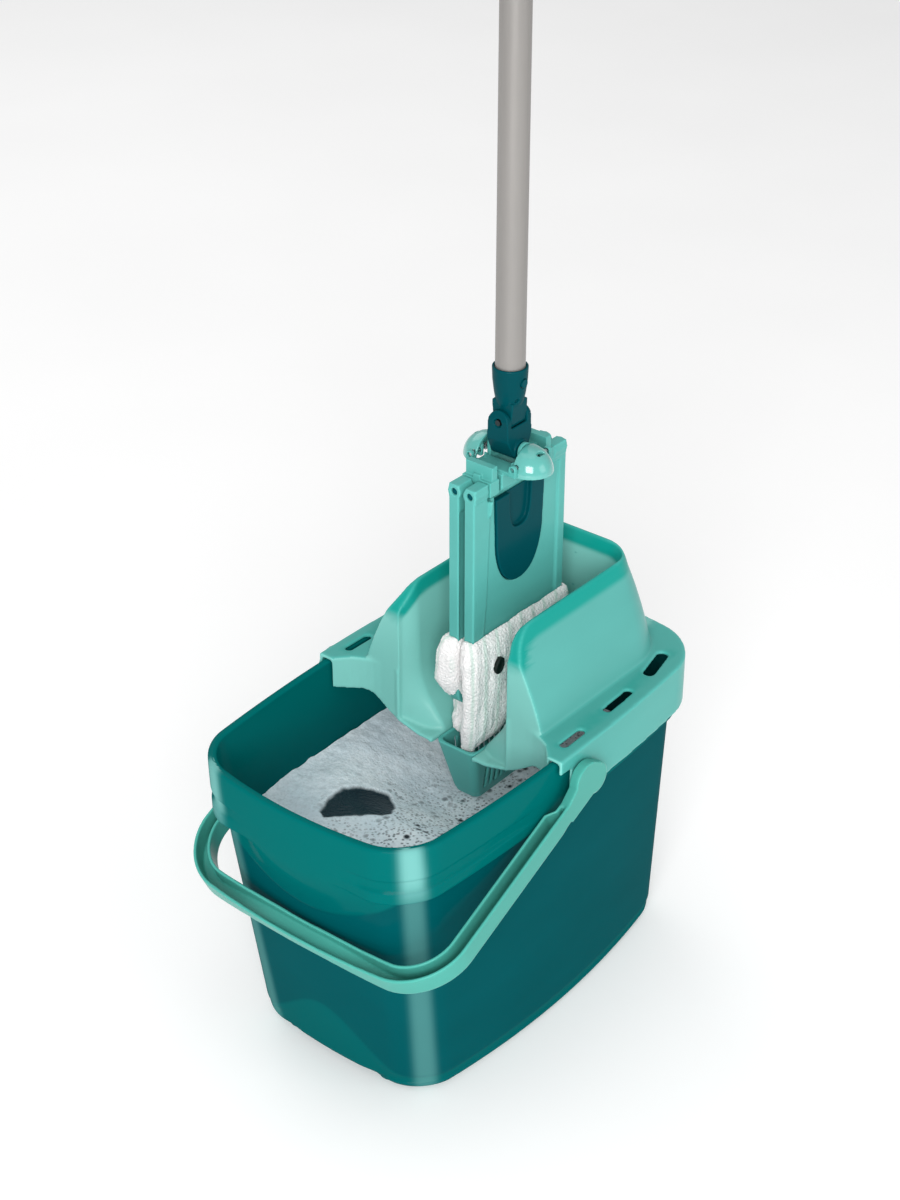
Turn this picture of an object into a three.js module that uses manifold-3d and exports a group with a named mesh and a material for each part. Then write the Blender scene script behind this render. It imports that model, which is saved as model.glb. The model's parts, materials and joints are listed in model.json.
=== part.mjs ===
// A folding flat mop standing in the press of its rectangular bucket.
// Millimetres, +Z up. The floor is z = 0, +X runs towards the press end of the bucket and the mop's
// wings hang on either side of the plane y = 0.
import * as THREE from 'three';
import { mergeVertices } from 'three/addons/utils/BufferGeometryUtils.js';
import Module from 'manifold-3d';

const wasm = await Module();
wasm.setup();

// ---------- driving dimensions ----------
const GAP = 0.4; // between pieces that touch

// Bucket: outlines are rounded rectangles whose sides bow outwards.
const RIM = { halfX: 172.6, halfY: 102.2, bowX: 12.1, bowY: 10.3, radius: 34 };
const BASE = { x: 16, halfX: 154, halfY: 86, bowX: 8, bowY: 16, radius: 30 };
const RIM_TOP = 255;
const BAND_BOTTOM = 212; // lower edge of the turned-down rim band
const WALL = 2.2;
const BAND_OFFSET = 4; // from the band's outer face to the wall's outer face
const BASE_EDGE = 10; // radius of the edge between wall and underside
const FLOOR = 3;
const STUB = { x: 14, z: 231, radius: 5, end: 125 }; // bail pivots on the long sides

// Bail: a U-channel strap, lying in a plane through its pivots.
const BAIL_SLOPE = THREE.MathUtils.degToRad(25); // below the horizontal at rest
const BAIL = { halfX: 208, halfY: 126, bowX: 9, bowY: 0, radius: 44 };
const BAIL_WIDTH = 13;
const BAIL_HEIGHT = 19;
const BAIL_SKIN = 2.4;
const BAIL_ARM_FREE = 46; // up to here the arm is one outer plate, clear of the press skirt
const BAIL_PLATE_INSIDE = 118.2;
const BAIL_EYE = 13;

// Press: a flange over the rim, a collar round the mop and a throat down to the strainer.
const FLANGE_BOTTOM = RIM_TOP + GAP;
const FLANGE_TOP = FLANGE_BOTTOM + 3;
const SKIRT_BOTTOM = 217;
const SKIRT_INSIDE = 1.6; // outside the rim band
const SKIRT_OUTSIDE = 4.3;
const EAR_X = -19;
const EAR_Y = 104;
const FRONT_PLAN = [ // the press's front seen from above, from the ear inwards
  [EAR_X, EAR_Y],
  [-8, 94],
  [-5, 89],
  [-2.5, 83],
  [-0.8, 77],
  [0, 70],
];
const SKIN = 2.8;
const PRESS_FRONT = -40; // the press's lofts start here and are cut off at its front face
const COLLAR_TOP = 331;
const COLLAR_OUTSIDE = [ // height, half-width, rear end
  [FLANGE_BOTTOM, 86, 172],
  [275, 79, 170.5],
  [294, 71, 168.5],
  [310, 63, 166.5],
  [320, 57.5, 165],
  [327, 54.5, 163.8],
  [COLLAR_TOP, 52.4, 162.5],
];
const THROAT = [ // height, half-width, rear end of the space inside
  [205, 19.3, 146],
  [210, 19.6, 146],
  [222, 27, 147],
  [235, 36, 148.5],
  [250, 42, 150],
  [270, 44.4, 151.5],
  [312, 46, 154],
  [324, 48, 156.5],
  [COLLAR_TOP + 1, 50.6, 160],
];
const APRON_EDGE = [ // lower edge of the press's front, half-width and height
  [EAR_Y, 231.5],
  [94, 229.5],
  [86, 230],
  [80, 228.8],
  [75, 226],
  [67, 220.5],
  [57.4, 214.5],
  [43, 210],
  [32, 207.3],
];
const MOUTH_HALF = 51.5; // the throat flares to this half-width at the press's front face
const MOUTH_DEPTH = 17; // and is back to its own width this far in
const SLOTS = [ // drain slots beside the collar: x, y, length, width, turn
  [12, 103.5, 27, 6.5, -1],
  [73, 100.5, 35, 6.5, -3],
  [133, 93.5, 36, 9, -13],
];

// Strainer: a narrow slotted trough under the throat.
const STRAINER = [ // height, half-width, front, rear
  [158, 11.5, 17, 130],
  [164, 12.8, 14.5, 133],
  [209, 18.9, 2.4, 145],
];
const STRAINER_WALL = 2;
const STRAINER_SLOT = { width: 2.6, pitch: 6.6, low: 166, high: 202 };

// Mop: two wings that hang from pins on a centre frame.
const MOP_X = 66;
const PIN_Y = 7;
const PIN_Z = 424;
const PIN_RADIUS = 2.4;
const BORE_RADIUS = 2.75;
const WING_FRONT = 11;
const WING_BACK = 121;
const WING_TOP = 415;
const WING_TIP = 238;
const WING_INSIDE = 2.6;
const WING_OUTSIDE = 11.6;
const KNUCKLE_RADIUS = 5.8;
const KNUCKLE_LENGTH = 16;
const PANEL_DEPTH = 1.6; // of the flat panel below the wing's raised edges
const INSERT = { top: 412, bottom: 335, halfWidth: 29, depth: 5 };
const SCOOP = { top: 416, bottom: 380, halfWidth: 15, depth: 4 };
const TOP_PLATE = 430.4;

// Yoke and pole.
const YOKE_Z = 442; // the axis along y
const SOCKET_Z = 465; // the axis along x
const YOKE_HALF = 14;
const PRONG_INSIDE = 9.2;
const SOCKET_TOP = 506;
const POLE_RADIUS = 11;
const POLE_WALL = 0.9;
const POLE_BOTTOM = 487;
const POLE_TOP = 1600;
const GRIP_BOTTOM = 1470;
const BUTTON = { z: 495, radius: 3.2 };

// Pedals: domed caps on pins beside the yoke.
const PEDAL_PIN = { y: 19.5, z: 436.5, radius: 1.6, halfLength: 20.5 };
const PEDAL = { halfX: 16, reach: 20, height: 17, inside: 16.8, bottom: 430.8 };
const PEDAL_WALL = 2.2;

// Cover: a microfibre sleeve on each wing tip with its slack pressed into the throat.
const COVER_OUTSIDE = [ // height, front, back, inner face, outer face
  [202, 22, 112, 0.6, 9],
  [214, 14, 120, 0.6, 13],
  [228, 6, 126, 0.6, 17],
  [246, 1, 130, 0.6, 21],
  [272, 0, 131, 0.6, 22],
  [290, 1, 131, 0.6, 21],
  [297, 4, 129, 0.8, 17.5],
];
const COVER_CLEARANCE = 0.5;

const COLOUR = {
  bucket: 0x006a68,
  light: 0x63b7ad,
  dark: 0x00575b,
  cloth: 0xdcdad8,
  pole: 0x9d9a98,
  steel: 0xb8bbbd,
};

// ---------- helpers ----------
function toManifold(geometry) {
  const bare = geometry.clone();
  bare.deleteAttribute('normal');
  bare.deleteAttribute('uv');
  const merged = mergeVertices(bare, 1e-4);
  return new wasm.Manifold(new wasm.Mesh({
    numProp: 3,
    vertProperties: new Float32Array(merged.attributes.position.array),
    triVerts: new Uint32Array(merged.index.array),
  }));
}

function toGeometry(solid) {
  const mesh = solid.getMesh();
  const geometry = new THREE.BufferGeometry();
  geometry.setAttribute('position', new THREE.BufferAttribute(new Float32Array(mesh.vertProperties), 3));
  geometry.setIndex(new THREE.BufferAttribute(new Uint32Array(mesh.triVerts), 1));
  geometry.computeVertexNormals();
  return geometry;
}

// A rounded rectangle with bowed sides, as points that correspond from one size to the next.
function outline({ x = 0, halfX, halfY, bowX = 0, bowY = 0, radius }, offset = 0, corner = 7, side = 6) {
  const a = halfX + offset;
  const b = halfY + offset;
  const r = Math.max(radius + offset, 1);
  const points = [];
  const centres = [[a - r, b - r], [r - a, b - r], [r - a, r - b], [a - r, r - b]];
  centres.forEach(([cx, cy], quarter) => {
    for (let i = 0; i <= corner; i += 1) {
      const angle = (quarter + i / corner) * Math.PI / 2;
      points.push(new THREE.Vector2(cx + r * Math.cos(angle), cy + r * Math.sin(angle)));
    }
    const last = points.at(-1);
    const [nx, ny] = centres[(quarter + 1) % 4];
    const angle = (quarter + 1) * Math.PI / 2;
    const next = new THREE.Vector2(nx + r * Math.cos(angle), ny + r * Math.sin(angle));
    for (let i = 1; i < side; i += 1) {
      points.push(last.clone().lerp(next, i / side));
    }
  });
  return points.map((p) => new THREE.Vector2(
    x + p.x + Math.sign(p.x) * bowX * (1 - (p.y / b) ** 2),
    p.y + Math.sign(p.y) * bowY * (1 - (p.x / a) ** 2),
  ));
}

const atHeight = (points, z) => points.map((p) => new THREE.Vector3(p.x, p.y, z));

// A closed solid through matching rings, capped at its first and last ring.
function loft(rings) {
  const count = rings[0].length;
  const positions = rings.flat().flatMap((p) => [p.x, p.y, p.z]);
  const index = [];
  for (let i = 0; i < rings.length - 1; i += 1) {
    const low = i * count;
    const high = low + count;
    for (let j = 0; j < count; j += 1) {
      const k = (j + 1) % count;
      index.push(low + j, low + k, high + k, low + j, high + k, high + j);
    }
  }
  [[0, true], [rings.length - 1, false]].forEach(([ring, flip]) => {
    const centre = rings[ring].reduce((sum, p) => sum.add(p), new THREE.Vector3()).divideScalar(count);
    const hub = positions.length / 3;
    positions.push(centre.x, centre.y, centre.z);
    for (let j = 0; j < count; j += 1) {
      const from = ring * count + j;
      const to = ring * count + (j + 1) % count;
      index.push(hub, flip ? to : from, flip ? from : to);
    }
  });
  const geometry = new THREE.BufferGeometry();
  geometry.setAttribute('position', new THREE.Float32BufferAttribute(positions, 3));
  geometry.setIndex(index);
  return toManifold(geometry);
}

function box(x0, x1, y0, y1, z0, z1) {
  const geometry = new THREE.BoxGeometry(x1 - x0, y1 - y0, z1 - z0);
  geometry.translate((x0 + x1) / 2, (y0 + y1) / 2, (z0 + z1) / 2);
  return toManifold(geometry);
}

// A cylinder between two points.
function rod(from, to, radius, segments = 20) {
  const start = new THREE.Vector3(...from);
  const along = new THREE.Vector3(...to).sub(start);
  const geometry = new THREE.CylinderGeometry(radius, radius, along.length(), segments);
  const turn = new THREE.Quaternion().setFromUnitVectors(new THREE.Vector3(0, 1, 0), along.clone().normalize());
  geometry.applyQuaternion(turn);
  geometry.translate(start.x + along.x / 2, start.y + along.y / 2, start.z + along.z / 2);
  return toManifold(geometry);
}

function shapeOf(points) {
  return new THREE.Shape(points.map(([u, v]) => new THREE.Vector2(u, v)));
}

const extrude = (shape, depth, curveSegments = 10) => new THREE.ExtrudeGeometry(
  shape,
  { depth, bevelEnabled: false, curveSegments },
);

// Extrusions of a drawing in plan (x, y), from the side (x, z) and from the front (y, z).
function slabZ(shape, z0, z1) {
  const geometry = extrude(shape, z1 - z0);
  geometry.translate(0, 0, z0);
  return toManifold(geometry);
}

function slabY(shape, y0, y1) {
  const geometry = extrude(shape, y1 - y0);
  geometry.rotateX(Math.PI / 2);
  geometry.translate(0, y1, 0);
  return toManifold(geometry);
}

function slabX(shape, x0, x1) {
  const geometry = extrude(shape, x1 - x0);
  geometry.rotateX(Math.PI / 2);
  geometry.rotateZ(Math.PI / 2);
  geometry.translate(x0, 0, 0);
  return toManifold(geometry);
}

// A solid of revolution about a vertical axis; profile points are radius and height.
function turned(profile, x = 0, y = 0, segments = 40) {
  const geometry = new THREE.LatheGeometry(profile.map(([r, z]) => new THREE.Vector2(r, z)), segments);
  geometry.rotateX(Math.PI / 2);
  geometry.translate(x, y, 0);
  return toManifold(geometry);
}

const join = (first, ...others) => others.reduce((sum, solid) => sum.add(solid), first);
const cut = (first, ...others) => others.reduce((rest, solid) => rest.subtract(solid), first);

const object = new THREE.Group();

function place(parent, name, solid, color, roughness = 0.45, metalness = 0) {
  const material = new THREE.MeshStandardMaterial({ color, roughness, metalness });
  const mesh = new THREE.Mesh(toGeometry(solid), material);
  mesh.name = name;
  parent.add(mesh);
}

// ---------- bucket ----------
function bucketOutline(z) {
  const t = z / RIM_TOP;
  const mix = (key) => THREE.MathUtils.lerp(BASE[key] ?? 0, (RIM[key] ?? 0), t);
  const keys = ['x', 'halfX', 'halfY', 'bowX', 'bowY', 'radius'];
  return Object.fromEntries(keys.map((key) => [key, mix(key)]));
}

function bucket() {
  const rings = [];
  const ring = (z, offset, form = bucketOutline(z)) => rings.push(atHeight(outline(form, offset), z));
  for (let step = 0; step <= 4; step += 1) {
    const angle = step * Math.PI / 8;
    ring(BASE_EDGE * (1 - Math.cos(angle)), -BAND_OFFSET * 0.2 - BASE_EDGE * (1 - Math.sin(angle)));
  }
  const wallOffset = (z) => -BAND_OFFSET * (0.2 + 0.8 * z / RIM_TOP);
  ring(120, wallOffset(120));
  ring(RIM_TOP - 3, wallOffset(RIM_TOP));
  ring(RIM_TOP - 3, -2.2, RIM);
  ring(BAND_BOTTOM, -2.6, RIM);
  ring(BAND_BOTTOM, -0.8, RIM);
  ring(RIM_TOP - 2, 0, RIM);
  ring(RIM_TOP, -2, RIM);
  ring(RIM_TOP, -BAND_OFFSET - WALL + 1, RIM);
  ring(RIM_TOP - 2, -BAND_OFFSET - WALL, RIM);
  ring(120, wallOffset(120) - WALL);
  ring(BASE_EDGE, wallOffset(0) - WALL);
  ring(FLOOR, wallOffset(0) - WALL - 7);
  const stubs = [-1, 1].map((side) => (
    rod([STUB.x, side * 110, STUB.z], [STUB.x, side * STUB.end, STUB.z], STUB.radius)
  ));
  return join(loft(rings), ...stubs);
}

// ---------- bail ----------
function bail() {
  const half = BAIL_HEIGHT / 2;
  const strip = (offset) => {
    const points = outline(BAIL, offset, 10, 14).map((p) => [p.x, p.y]);
    return shapeOf(points);
  };
  const grooveBottom = BAIL_SKIN - half;
  const channel = cut(
    slabZ(strip(0), -half, half),
    slabZ(strip(-BAIL_WIDTH), -half - 1, half + 1),
    cut(
      slabZ(strip(-BAIL_SKIN), grooveBottom, half + 1),
      slabZ(strip(BAIL_SKIN - BAIL_WIDTH), grooveBottom - 1, half + 2),
    ),
    box(-300, 0, -200, 200, -50, 50),
    box(-1, BAIL_ARM_FREE, -BAIL_PLATE_INSIDE, BAIL_PLATE_INSIDE, -50, 50),
  );
  const eyes = [-1, 1].map((side) => (
    rod([0, side * BAIL_PLATE_INSIDE, 0], [0, side * BAIL.halfY, 0], BAIL_EYE, 32)
  ));
  const plates = [-1, 1].map((side) => {
    const near = side * BAIL_PLATE_INSIDE;
    const far = side * BAIL.halfY;
    return box(0, BAIL_ARM_FREE + 6, Math.min(near, far), Math.max(near, far), -half, half);
  });
  const bore = rod([0, -200, 0], [0, 200, 0], STUB.radius + GAP);
  const strap = cut(join(channel, ...eyes, ...plates), bore);
  // Local +x points forwards and down along the arm.
  const turn = new THREE.Matrix4().makeRotationY(BAIL_SLOPE);
  turn.premultiply(new THREE.Matrix4().makeScale(-1, 1, 1));
  turn.premultiply(new THREE.Matrix4().makeTranslation(STUB.x, 0, STUB.z));
  return strap.transform(turn.elements);
}

// ---------- press ----------
function upright(rows, roundness, grow = 0, lowest = 0, highest = 1000) {
  const rings = rows.map(([z, halfY, rear]) => {
    const halfX = (rear - PRESS_FRONT) / 2;
    const form = { x: PRESS_FRONT + halfX, halfX, halfY, radius: halfY * roundness };
    return atHeight(outline(form, grow, 7, 3), THREE.MathUtils.clamp(z, lowest, highest));
  });
  return loft(rings);
}

const collarLoft = (...limits) => upright(COLLAR_OUTSIDE, 0.55, ...limits);
const throatLoft = (...limits) => upright(THROAT, 0.4, ...limits);

function pressFront() {
  const wall = 3;
  const plan = [
    ...FRONT_PLAN,
    ...FRONT_PLAN.toReversed().map(([x, y]) => [x, -y]),
    ...FRONT_PLAN.map(([x, y]) => [x + wall, -y - 1]),
    ...FRONT_PLAN.toReversed().map(([x, y]) => [x + wall, y + 1]),
  ];
  return slabZ(shapeOf(plan), 200, FLANGE_TOP).intersect(aboveEdge(0, FLANGE_TOP));
}

function aboveEdge(lift, top) {
  const edge = [
    ...APRON_EDGE.map(([y, z]) => [-y - 2, z + lift]),
    ...APRON_EDGE.toReversed().map(([y, z]) => [y + 2, z + lift]),
    [EAR_Y + 2, top],
    [-EAR_Y - 2, top],
  ];
  return slabX(shapeOf(edge), -40, 20);
}

// The flare of the throat at the press's front face.
function mouth(grow) {
  const steps = [0, 3, 5.8, 8.6, 11.4, 14.2, MOUTH_DEPTH];
  const rings = THROAT.map(([z, halfY]) => {
    const side = steps.map((x) => {
      const t = Math.min((MOUTH_DEPTH - x) / (MOUTH_DEPTH - 3), 1);
      return new THREE.Vector2(x, halfY + grow + (MOUTH_HALF - halfY) * t ** 1.6);
    });
    const back = new THREE.Vector2(MOUTH_DEPTH + grow, halfY - 1);
    const half = [new THREE.Vector2(-1, MOUTH_HALF + grow), ...side, back];
    const mirrored = half.map((point) => new THREE.Vector2(point.x, -point.y));
    return atHeight([...mirrored, ...half.toReversed()], z);
  });
  return loft(rings);
}

function drainSlot([x, y, length, width, turn], side) {
  const half = length / 2 - width / 2;
  const shape = new THREE.Shape();
  shape.absarc(half, 0, width / 2, -Math.PI / 2, Math.PI / 2);
  shape.absarc(-half, 0, width / 2, Math.PI / 2, 3 * Math.PI / 2);
  const geometry = extrude(shape, 20, 6);
  geometry.rotateZ(THREE.MathUtils.degToRad(turn * side));
  geometry.translate(x, y * side, FLANGE_TOP - 10);
  return toManifold(geometry);
}

function press() {
  const rimShape = (offset) => shapeOf(outline(RIM, offset).map((p) => [p.x, p.y]));
  const keep = slabZ(shapeOf([
    [EAR_X, 140], ...FRONT_PLAN, ...FRONT_PLAN.toReversed().map(([x, y]) => [x, -y]), [EAR_X, -140],
    [220, -140], [220, 140],
  ]), 150, 400);
  const plate = slabZ(rimShape(SKIRT_OUTSIDE), FLANGE_BOTTOM, FLANGE_TOP);
  const skirt = cut(
    slabZ(rimShape(SKIRT_OUTSIDE), SKIRT_BOTTOM, FLANGE_TOP),
    slabZ(rimShape(SKIRT_INSIDE), SKIRT_BOTTOM - 1, FLANGE_BOTTOM),
    box(-60, -6, -200, 200, SKIRT_BOTTOM - 1, FLANGE_BOTTOM - 9),
  );
  const notches = [-1, 1].flatMap((side) => [
    rod([STUB.x, side * 112, STUB.z], [STUB.x, side * 120, STUB.z], STUB.radius + 1.2),
    box(
      STUB.x - STUB.radius - 1.2, STUB.x + STUB.radius + 1.2,
      side < 0 ? -120 : 112, side < 0 ? -112 : 120, SKIRT_BOTTOM - 1, STUB.z,
    ),
  ]);
  const block = collarLoft().intersect(box(0, 200, -100, 100, FLANGE_BOTTOM, 400));
  const throatSkin = throatLoft(SKIN, 206, FLANGE_TOP)
    .intersect(box(0, 200, -100, 100, 206, FLANGE_TOP));
  const mouthSkin = mouth(SKIN).intersect(aboveEdge(0, 400)).subtract(box(-60, 0, -200, 200, 0, 500));
  const inside = throatLoft().add(mouth(0).intersect(aboveEdge(3, 400)));
  // The collar's top edge falls away in a curve at the front.
  const dip = (lower) => slabY(shapeOf([
    [-30, 309], [0, 309], [1.5, 314], [5, 320], [11, 325], [19, 329], [30, COLLAR_TOP],
    [34, COLLAR_TOP + 5], [-30, COLLAR_TOP + 5],
  ].map(([x, z]) => [x + lower, z - lower])), -100, 100);
  const core = cut(
    collarLoft(-SKIN, FLANGE_BOTTOM - 1, COLLAR_TOP - 7),
    throatLoft(SKIN, 190, COLLAR_TOP - 2),
    mouthSkin,
    box(-60, 3, -200, 200, 0, 500),
    dip(SKIN),
  );
  const slots = SLOTS.flatMap((slot) => [drainSlot(slot, -1), drainSlot(slot, 1)]);
  const shell = join(
    plate.intersect(keep), skirt.intersect(keep), pressFront(), block, throatSkin,
    mouthSkin.intersect(box(0, 30, -100, 100, 200, FLANGE_TOP)),
  );
  return cut(shell, core, inside, dip(0), ...notches, ...slots);
}

function strainer() {
  const rows = (inset, lift) => STRAINER.map(([z, halfY, front, rear], i) => {
    const halfX = (rear - front) / 2 - inset;
    const form = { x: (front + rear) / 2, halfX, halfY: halfY - inset, radius: 6 };
    return atHeight(outline(form, 0, 4, 1), i === 0 ? z + lift : z + (i === 2 ? lift * 3 : 0));
  });
  const slots = [];
  for (let x = 24; x < 128; x += STRAINER_SLOT.pitch) {
    const half = STRAINER_SLOT.width / 2;
    slots.push(box(x - half, x + half, -40, 40, STRAINER_SLOT.low, STRAINER_SLOT.high));
  }
  return cut(loft(rows(0, 0)), loft(rows(STRAINER_WALL, STRAINER_WALL)), ...slots);
}

// ---------- mop head ----------
const frontKnuckle = [WING_FRONT, WING_FRONT + KNUCKLE_LENGTH];
const backKnuckle = [WING_BACK - KNUCKLE_LENGTH, WING_BACK];

function tongue(halfWidth, top, bottom) {
  const shape = new THREE.Shape();
  shape.moveTo(MOP_X - halfWidth, top);
  shape.lineTo(MOP_X - halfWidth + 2, bottom + 34);
  shape.bezierCurveTo(MOP_X - halfWidth * 0.8, bottom + 8, MOP_X - 12, bottom, MOP_X, bottom);
  shape.bezierCurveTo(MOP_X + 12, bottom, MOP_X + halfWidth * 0.8, bottom + 8, MOP_X + halfWidth - 2, bottom + 34);
  shape.lineTo(MOP_X + halfWidth, top);
  return shape;
}

function between(side, a, b) {
  return side < 0 ? [-b, -a] : [a, b];
}

function wing(side) {
  const plate = new THREE.Shape();
  plate.moveTo(WING_FRONT, WING_TOP);
  plate.lineTo(WING_FRONT, WING_TIP + 16);
  plate.quadraticCurveTo(WING_FRONT, WING_TIP, WING_FRONT + 16, WING_TIP);
  plate.lineTo(WING_BACK - 16, WING_TIP);
  plate.quadraticCurveTo(WING_BACK, WING_TIP, WING_BACK, WING_TIP + 16);
  plate.lineTo(WING_BACK, WING_TOP);
  const webs = [frontKnuckle, backKnuckle].flatMap(([x0, x1]) => [
    box(x0, x1, ...between(side, WING_INSIDE, WING_OUTSIDE), WING_TOP - 1, PIN_Z),
    rod([x0, side * PIN_Y, PIN_Z], [x1, side * PIN_Y, PIN_Z], KNUCKLE_RADIUS, 24),
  ]);
  const panel = slabY(shapeOf([
    [WING_FRONT + 20, WING_TOP + 1], [WING_FRONT + 16, 330], [WING_FRONT + 9, 262], [WING_BACK - 9, 262],
    [WING_BACK - 8, WING_TOP + 1],
  ]), ...between(side, WING_OUTSIDE - PANEL_DEPTH, WING_OUTSIDE + 5));
  const pocket = slabY(
    tongue(INSERT.halfWidth + GAP, WING_TOP + 2, INSERT.bottom - GAP),
    ...between(side, WING_OUTSIDE - INSERT.depth, WING_OUTSIDE + 5),
  );
  const bore = rod([0, side * PIN_Y, PIN_Z], [140, side * PIN_Y, PIN_Z], BORE_RADIUS);
  const solid = slabY(plate, ...between(side, WING_INSIDE, WING_OUTSIDE));
  return cut(join(solid, ...webs), panel, pocket, bore);
}

function insert(side) {
  const inner = WING_OUTSIDE - INSERT.depth + GAP;
  const face = slabY(
    tongue(INSERT.halfWidth, INSERT.top, INSERT.bottom),
    ...between(side, inner, WING_OUTSIDE),
  );
  const scoop = slabY(
    tongue(SCOOP.halfWidth, SCOOP.top, SCOOP.bottom),
    ...between(side, WING_OUTSIDE - SCOOP.depth + GAP, WING_OUTSIDE + 5),
  );
  return cut(face, scoop);
}

function headFrame() {
  const centre = box(42, 90, -12.4, 12.4, 419, TOP_PLATE + 1);
  const topPlate = join(
    box(44, 88, -15.2, 15.2, TOP_PLATE, TOP_PLATE + 3),
    box(44, 49.4, -22.5, 22.5, TOP_PLATE, TOP_PLATE + 3),
    box(82.6, 88, -22.5, 22.5, TOP_PLATE, TOP_PLATE + 3),
  );
  const spine = box(28, 104, -3, 3, 419.5, TOP_PLATE + 3);
  const ends = [[28, 38], [94, 104]].map(([x0, x1]) => box(x0, x1, -13, 13, 418.4, 430));
  const ribs = [[31, 37], [95, 101]].map(([x0, x1]) => box(x0, x1, -12, 12, 429, 440.5));
  const saddle = rod([MOP_X, -18, YOKE_Z], [MOP_X, 18, YOKE_Z], 11.6, 36);
  const boss = rod([MOP_X, 0, TOP_PLATE + 2], [MOP_X, 0, TOP_PLATE + 6], 18, 40)
    .intersect(box(0, 140, -15.2, 15.2, TOP_PLATE, TOP_PLATE + 10))
    .subtract(box(0, 140, -11.9, 11.9, TOP_PLATE + 3, TOP_PLATE + 10));
  const ears = [-1, 1].flatMap((side) => [
    rod([MOP_X, side * 12.2, YOKE_Z], [MOP_X, side * 15.2, YOKE_Z], 6.5, 24),
    box(MOP_X - 6.5, MOP_X + 6.5, ...between(side, 12.2, 15.2), TOP_PLATE, YOKE_Z),
  ]);
  const pedalEars = [-1, 1].flatMap((side) => [[44, 47], [85, 88]].flatMap(([x0, x1]) => [
    rod([x0, side * PEDAL_PIN.y, PEDAL_PIN.z], [x1, side * PEDAL_PIN.y, PEDAL_PIN.z], 3, 16),
    box(x0, x1, ...between(side, PEDAL_PIN.y - 3, PEDAL_PIN.y + 3), TOP_PLATE, PEDAL_PIN.z),
  ]));
  const body = join(cut(join(centre, topPlate, boss), saddle), spine.subtract(saddle), ...ends, ...ribs);
  const bores = [-1, 1].flatMap((side) => [
    rod([0, side * PIN_Y, PIN_Z], [140, side * PIN_Y, PIN_Z], BORE_RADIUS),
    rod([0, side * PEDAL_PIN.y, PEDAL_PIN.z], [140, side * PEDAL_PIN.y, PEDAL_PIN.z], PEDAL_PIN.radius + 0.35, 16),
  ]);
  const yokeBore = rod([MOP_X, -30, YOKE_Z], [MOP_X, 30, YOKE_Z], 2.6 + 0.35);
  return cut(join(body, ...ears, ...pedalEars), ...bores, yokeBore);
}

function pedal(side) {
  const ellipsoid = (inset, drop) => {
    const geometry = new THREE.SphereGeometry(1, 24, 16);
    geometry.scale(PEDAL.halfX - inset, PEDAL.reach - inset, PEDAL.height - inset);
    geometry.translate(MOP_X, side * (PEDAL.inside + 0.2), PEDAL.bottom - drop);
    return toManifold(geometry);
  };
  const dome = ellipsoid(0, 0)
    .intersect(box(0, 140, ...between(side, PEDAL.inside, 60), PEDAL.bottom, 500));
  const { y, z, radius } = PEDAL_PIN;
  const lugs = [[55, 58], [74, 77]].map(([x0, x1]) => (
    rod([x0, side * y, z], [x1, side * y, z], 5)
      .add(box(x0, x1, ...between(side, y - 2, y + 6), z, z + 7))
      .intersect(dome)
  ));
  const bore = rod([0, side * y, z], [140, side * y, z], radius + 0.35, 16);
  const slot = box(MOP_X - 4, MOP_X + 4, ...between(side, 27, 30), PEDAL.bottom + 4, 500);
  return cut(join(cut(dome, ellipsoid(PEDAL_WALL, 0.01)), ...lugs), bore, slot);
}

class Helix extends THREE.Curve {
  constructor(radius, turns, start, length, y, z) {
    super();
    Object.assign(this, { radius, turns, start, length, y, z });
  }

  getPoint(t, target = new THREE.Vector3()) {
    const angle = t * this.turns * 2 * Math.PI;
    return target.set(
      this.start + t * this.length,
      this.y + this.radius * Math.cos(angle),
      this.z + this.radius * Math.sin(angle),
    );
  }
}

function pedalSpring(side) {
  const wire = new THREE.Shape();
  wire.absarc(0, 0, 0.4, 0, 2 * Math.PI);
  const turns = 5;
  const path = new Helix(2.4, turns, MOP_X - 5, 9, side * PEDAL_PIN.y, PEDAL_PIN.z);
  const settings = { steps: turns * 10, bevelEnabled: false, extrudePath: path, curveSegments: 3 };
  return toManifold(new THREE.ExtrudeGeometry(wire, settings));
}

// ---------- yoke and pole ----------
function yoke() {
  const side = shapeOf([
    [MOP_X - 8, YOKE_Z - 3], [MOP_X - YOKE_HALF, YOKE_Z + 9], [MOP_X - YOKE_HALF, SOCKET_Z + 2],
    [MOP_X - YOKE_HALF + 2, SOCKET_Z + 9], [MOP_X + YOKE_HALF - 2, SOCKET_Z + 9],
    [MOP_X + YOKE_HALF, SOCKET_Z + 2], [MOP_X + YOKE_HALF, YOKE_Z + 9], [MOP_X + 8, YOKE_Z - 3],
  ]);
  const front = new THREE.Shape();
  front.moveTo(-11, YOKE_Z - 10);
  front.lineTo(11, YOKE_Z - 10);
  front.lineTo(9, SOCKET_Z);
  front.absarc(0, SOCKET_Z, 9, 0, Math.PI);
  const body = slabY(side, -11, 11).intersect(slabX(front, 40, 95));
  const barrel = rod([MOP_X, -11.6, YOKE_Z], [MOP_X, 11.6, YOKE_Z], 8, 30);
  const gap = box(
    MOP_X - PRONG_INSIDE, MOP_X + PRONG_INSIDE, -20, 20, SOCKET_Z - 9.4, SOCKET_Z + 20,
  );
  const lowerBore = rod([MOP_X, -30, YOKE_Z], [MOP_X, 30, YOKE_Z], 2.6 + 0.35);
  const upperBore = rod([30, 0, SOCKET_Z], [100, 0, SOCKET_Z], 2.2 + 0.35);
  return cut(join(body, barrel), gap, lowerBore, upperBore);
}

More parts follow.
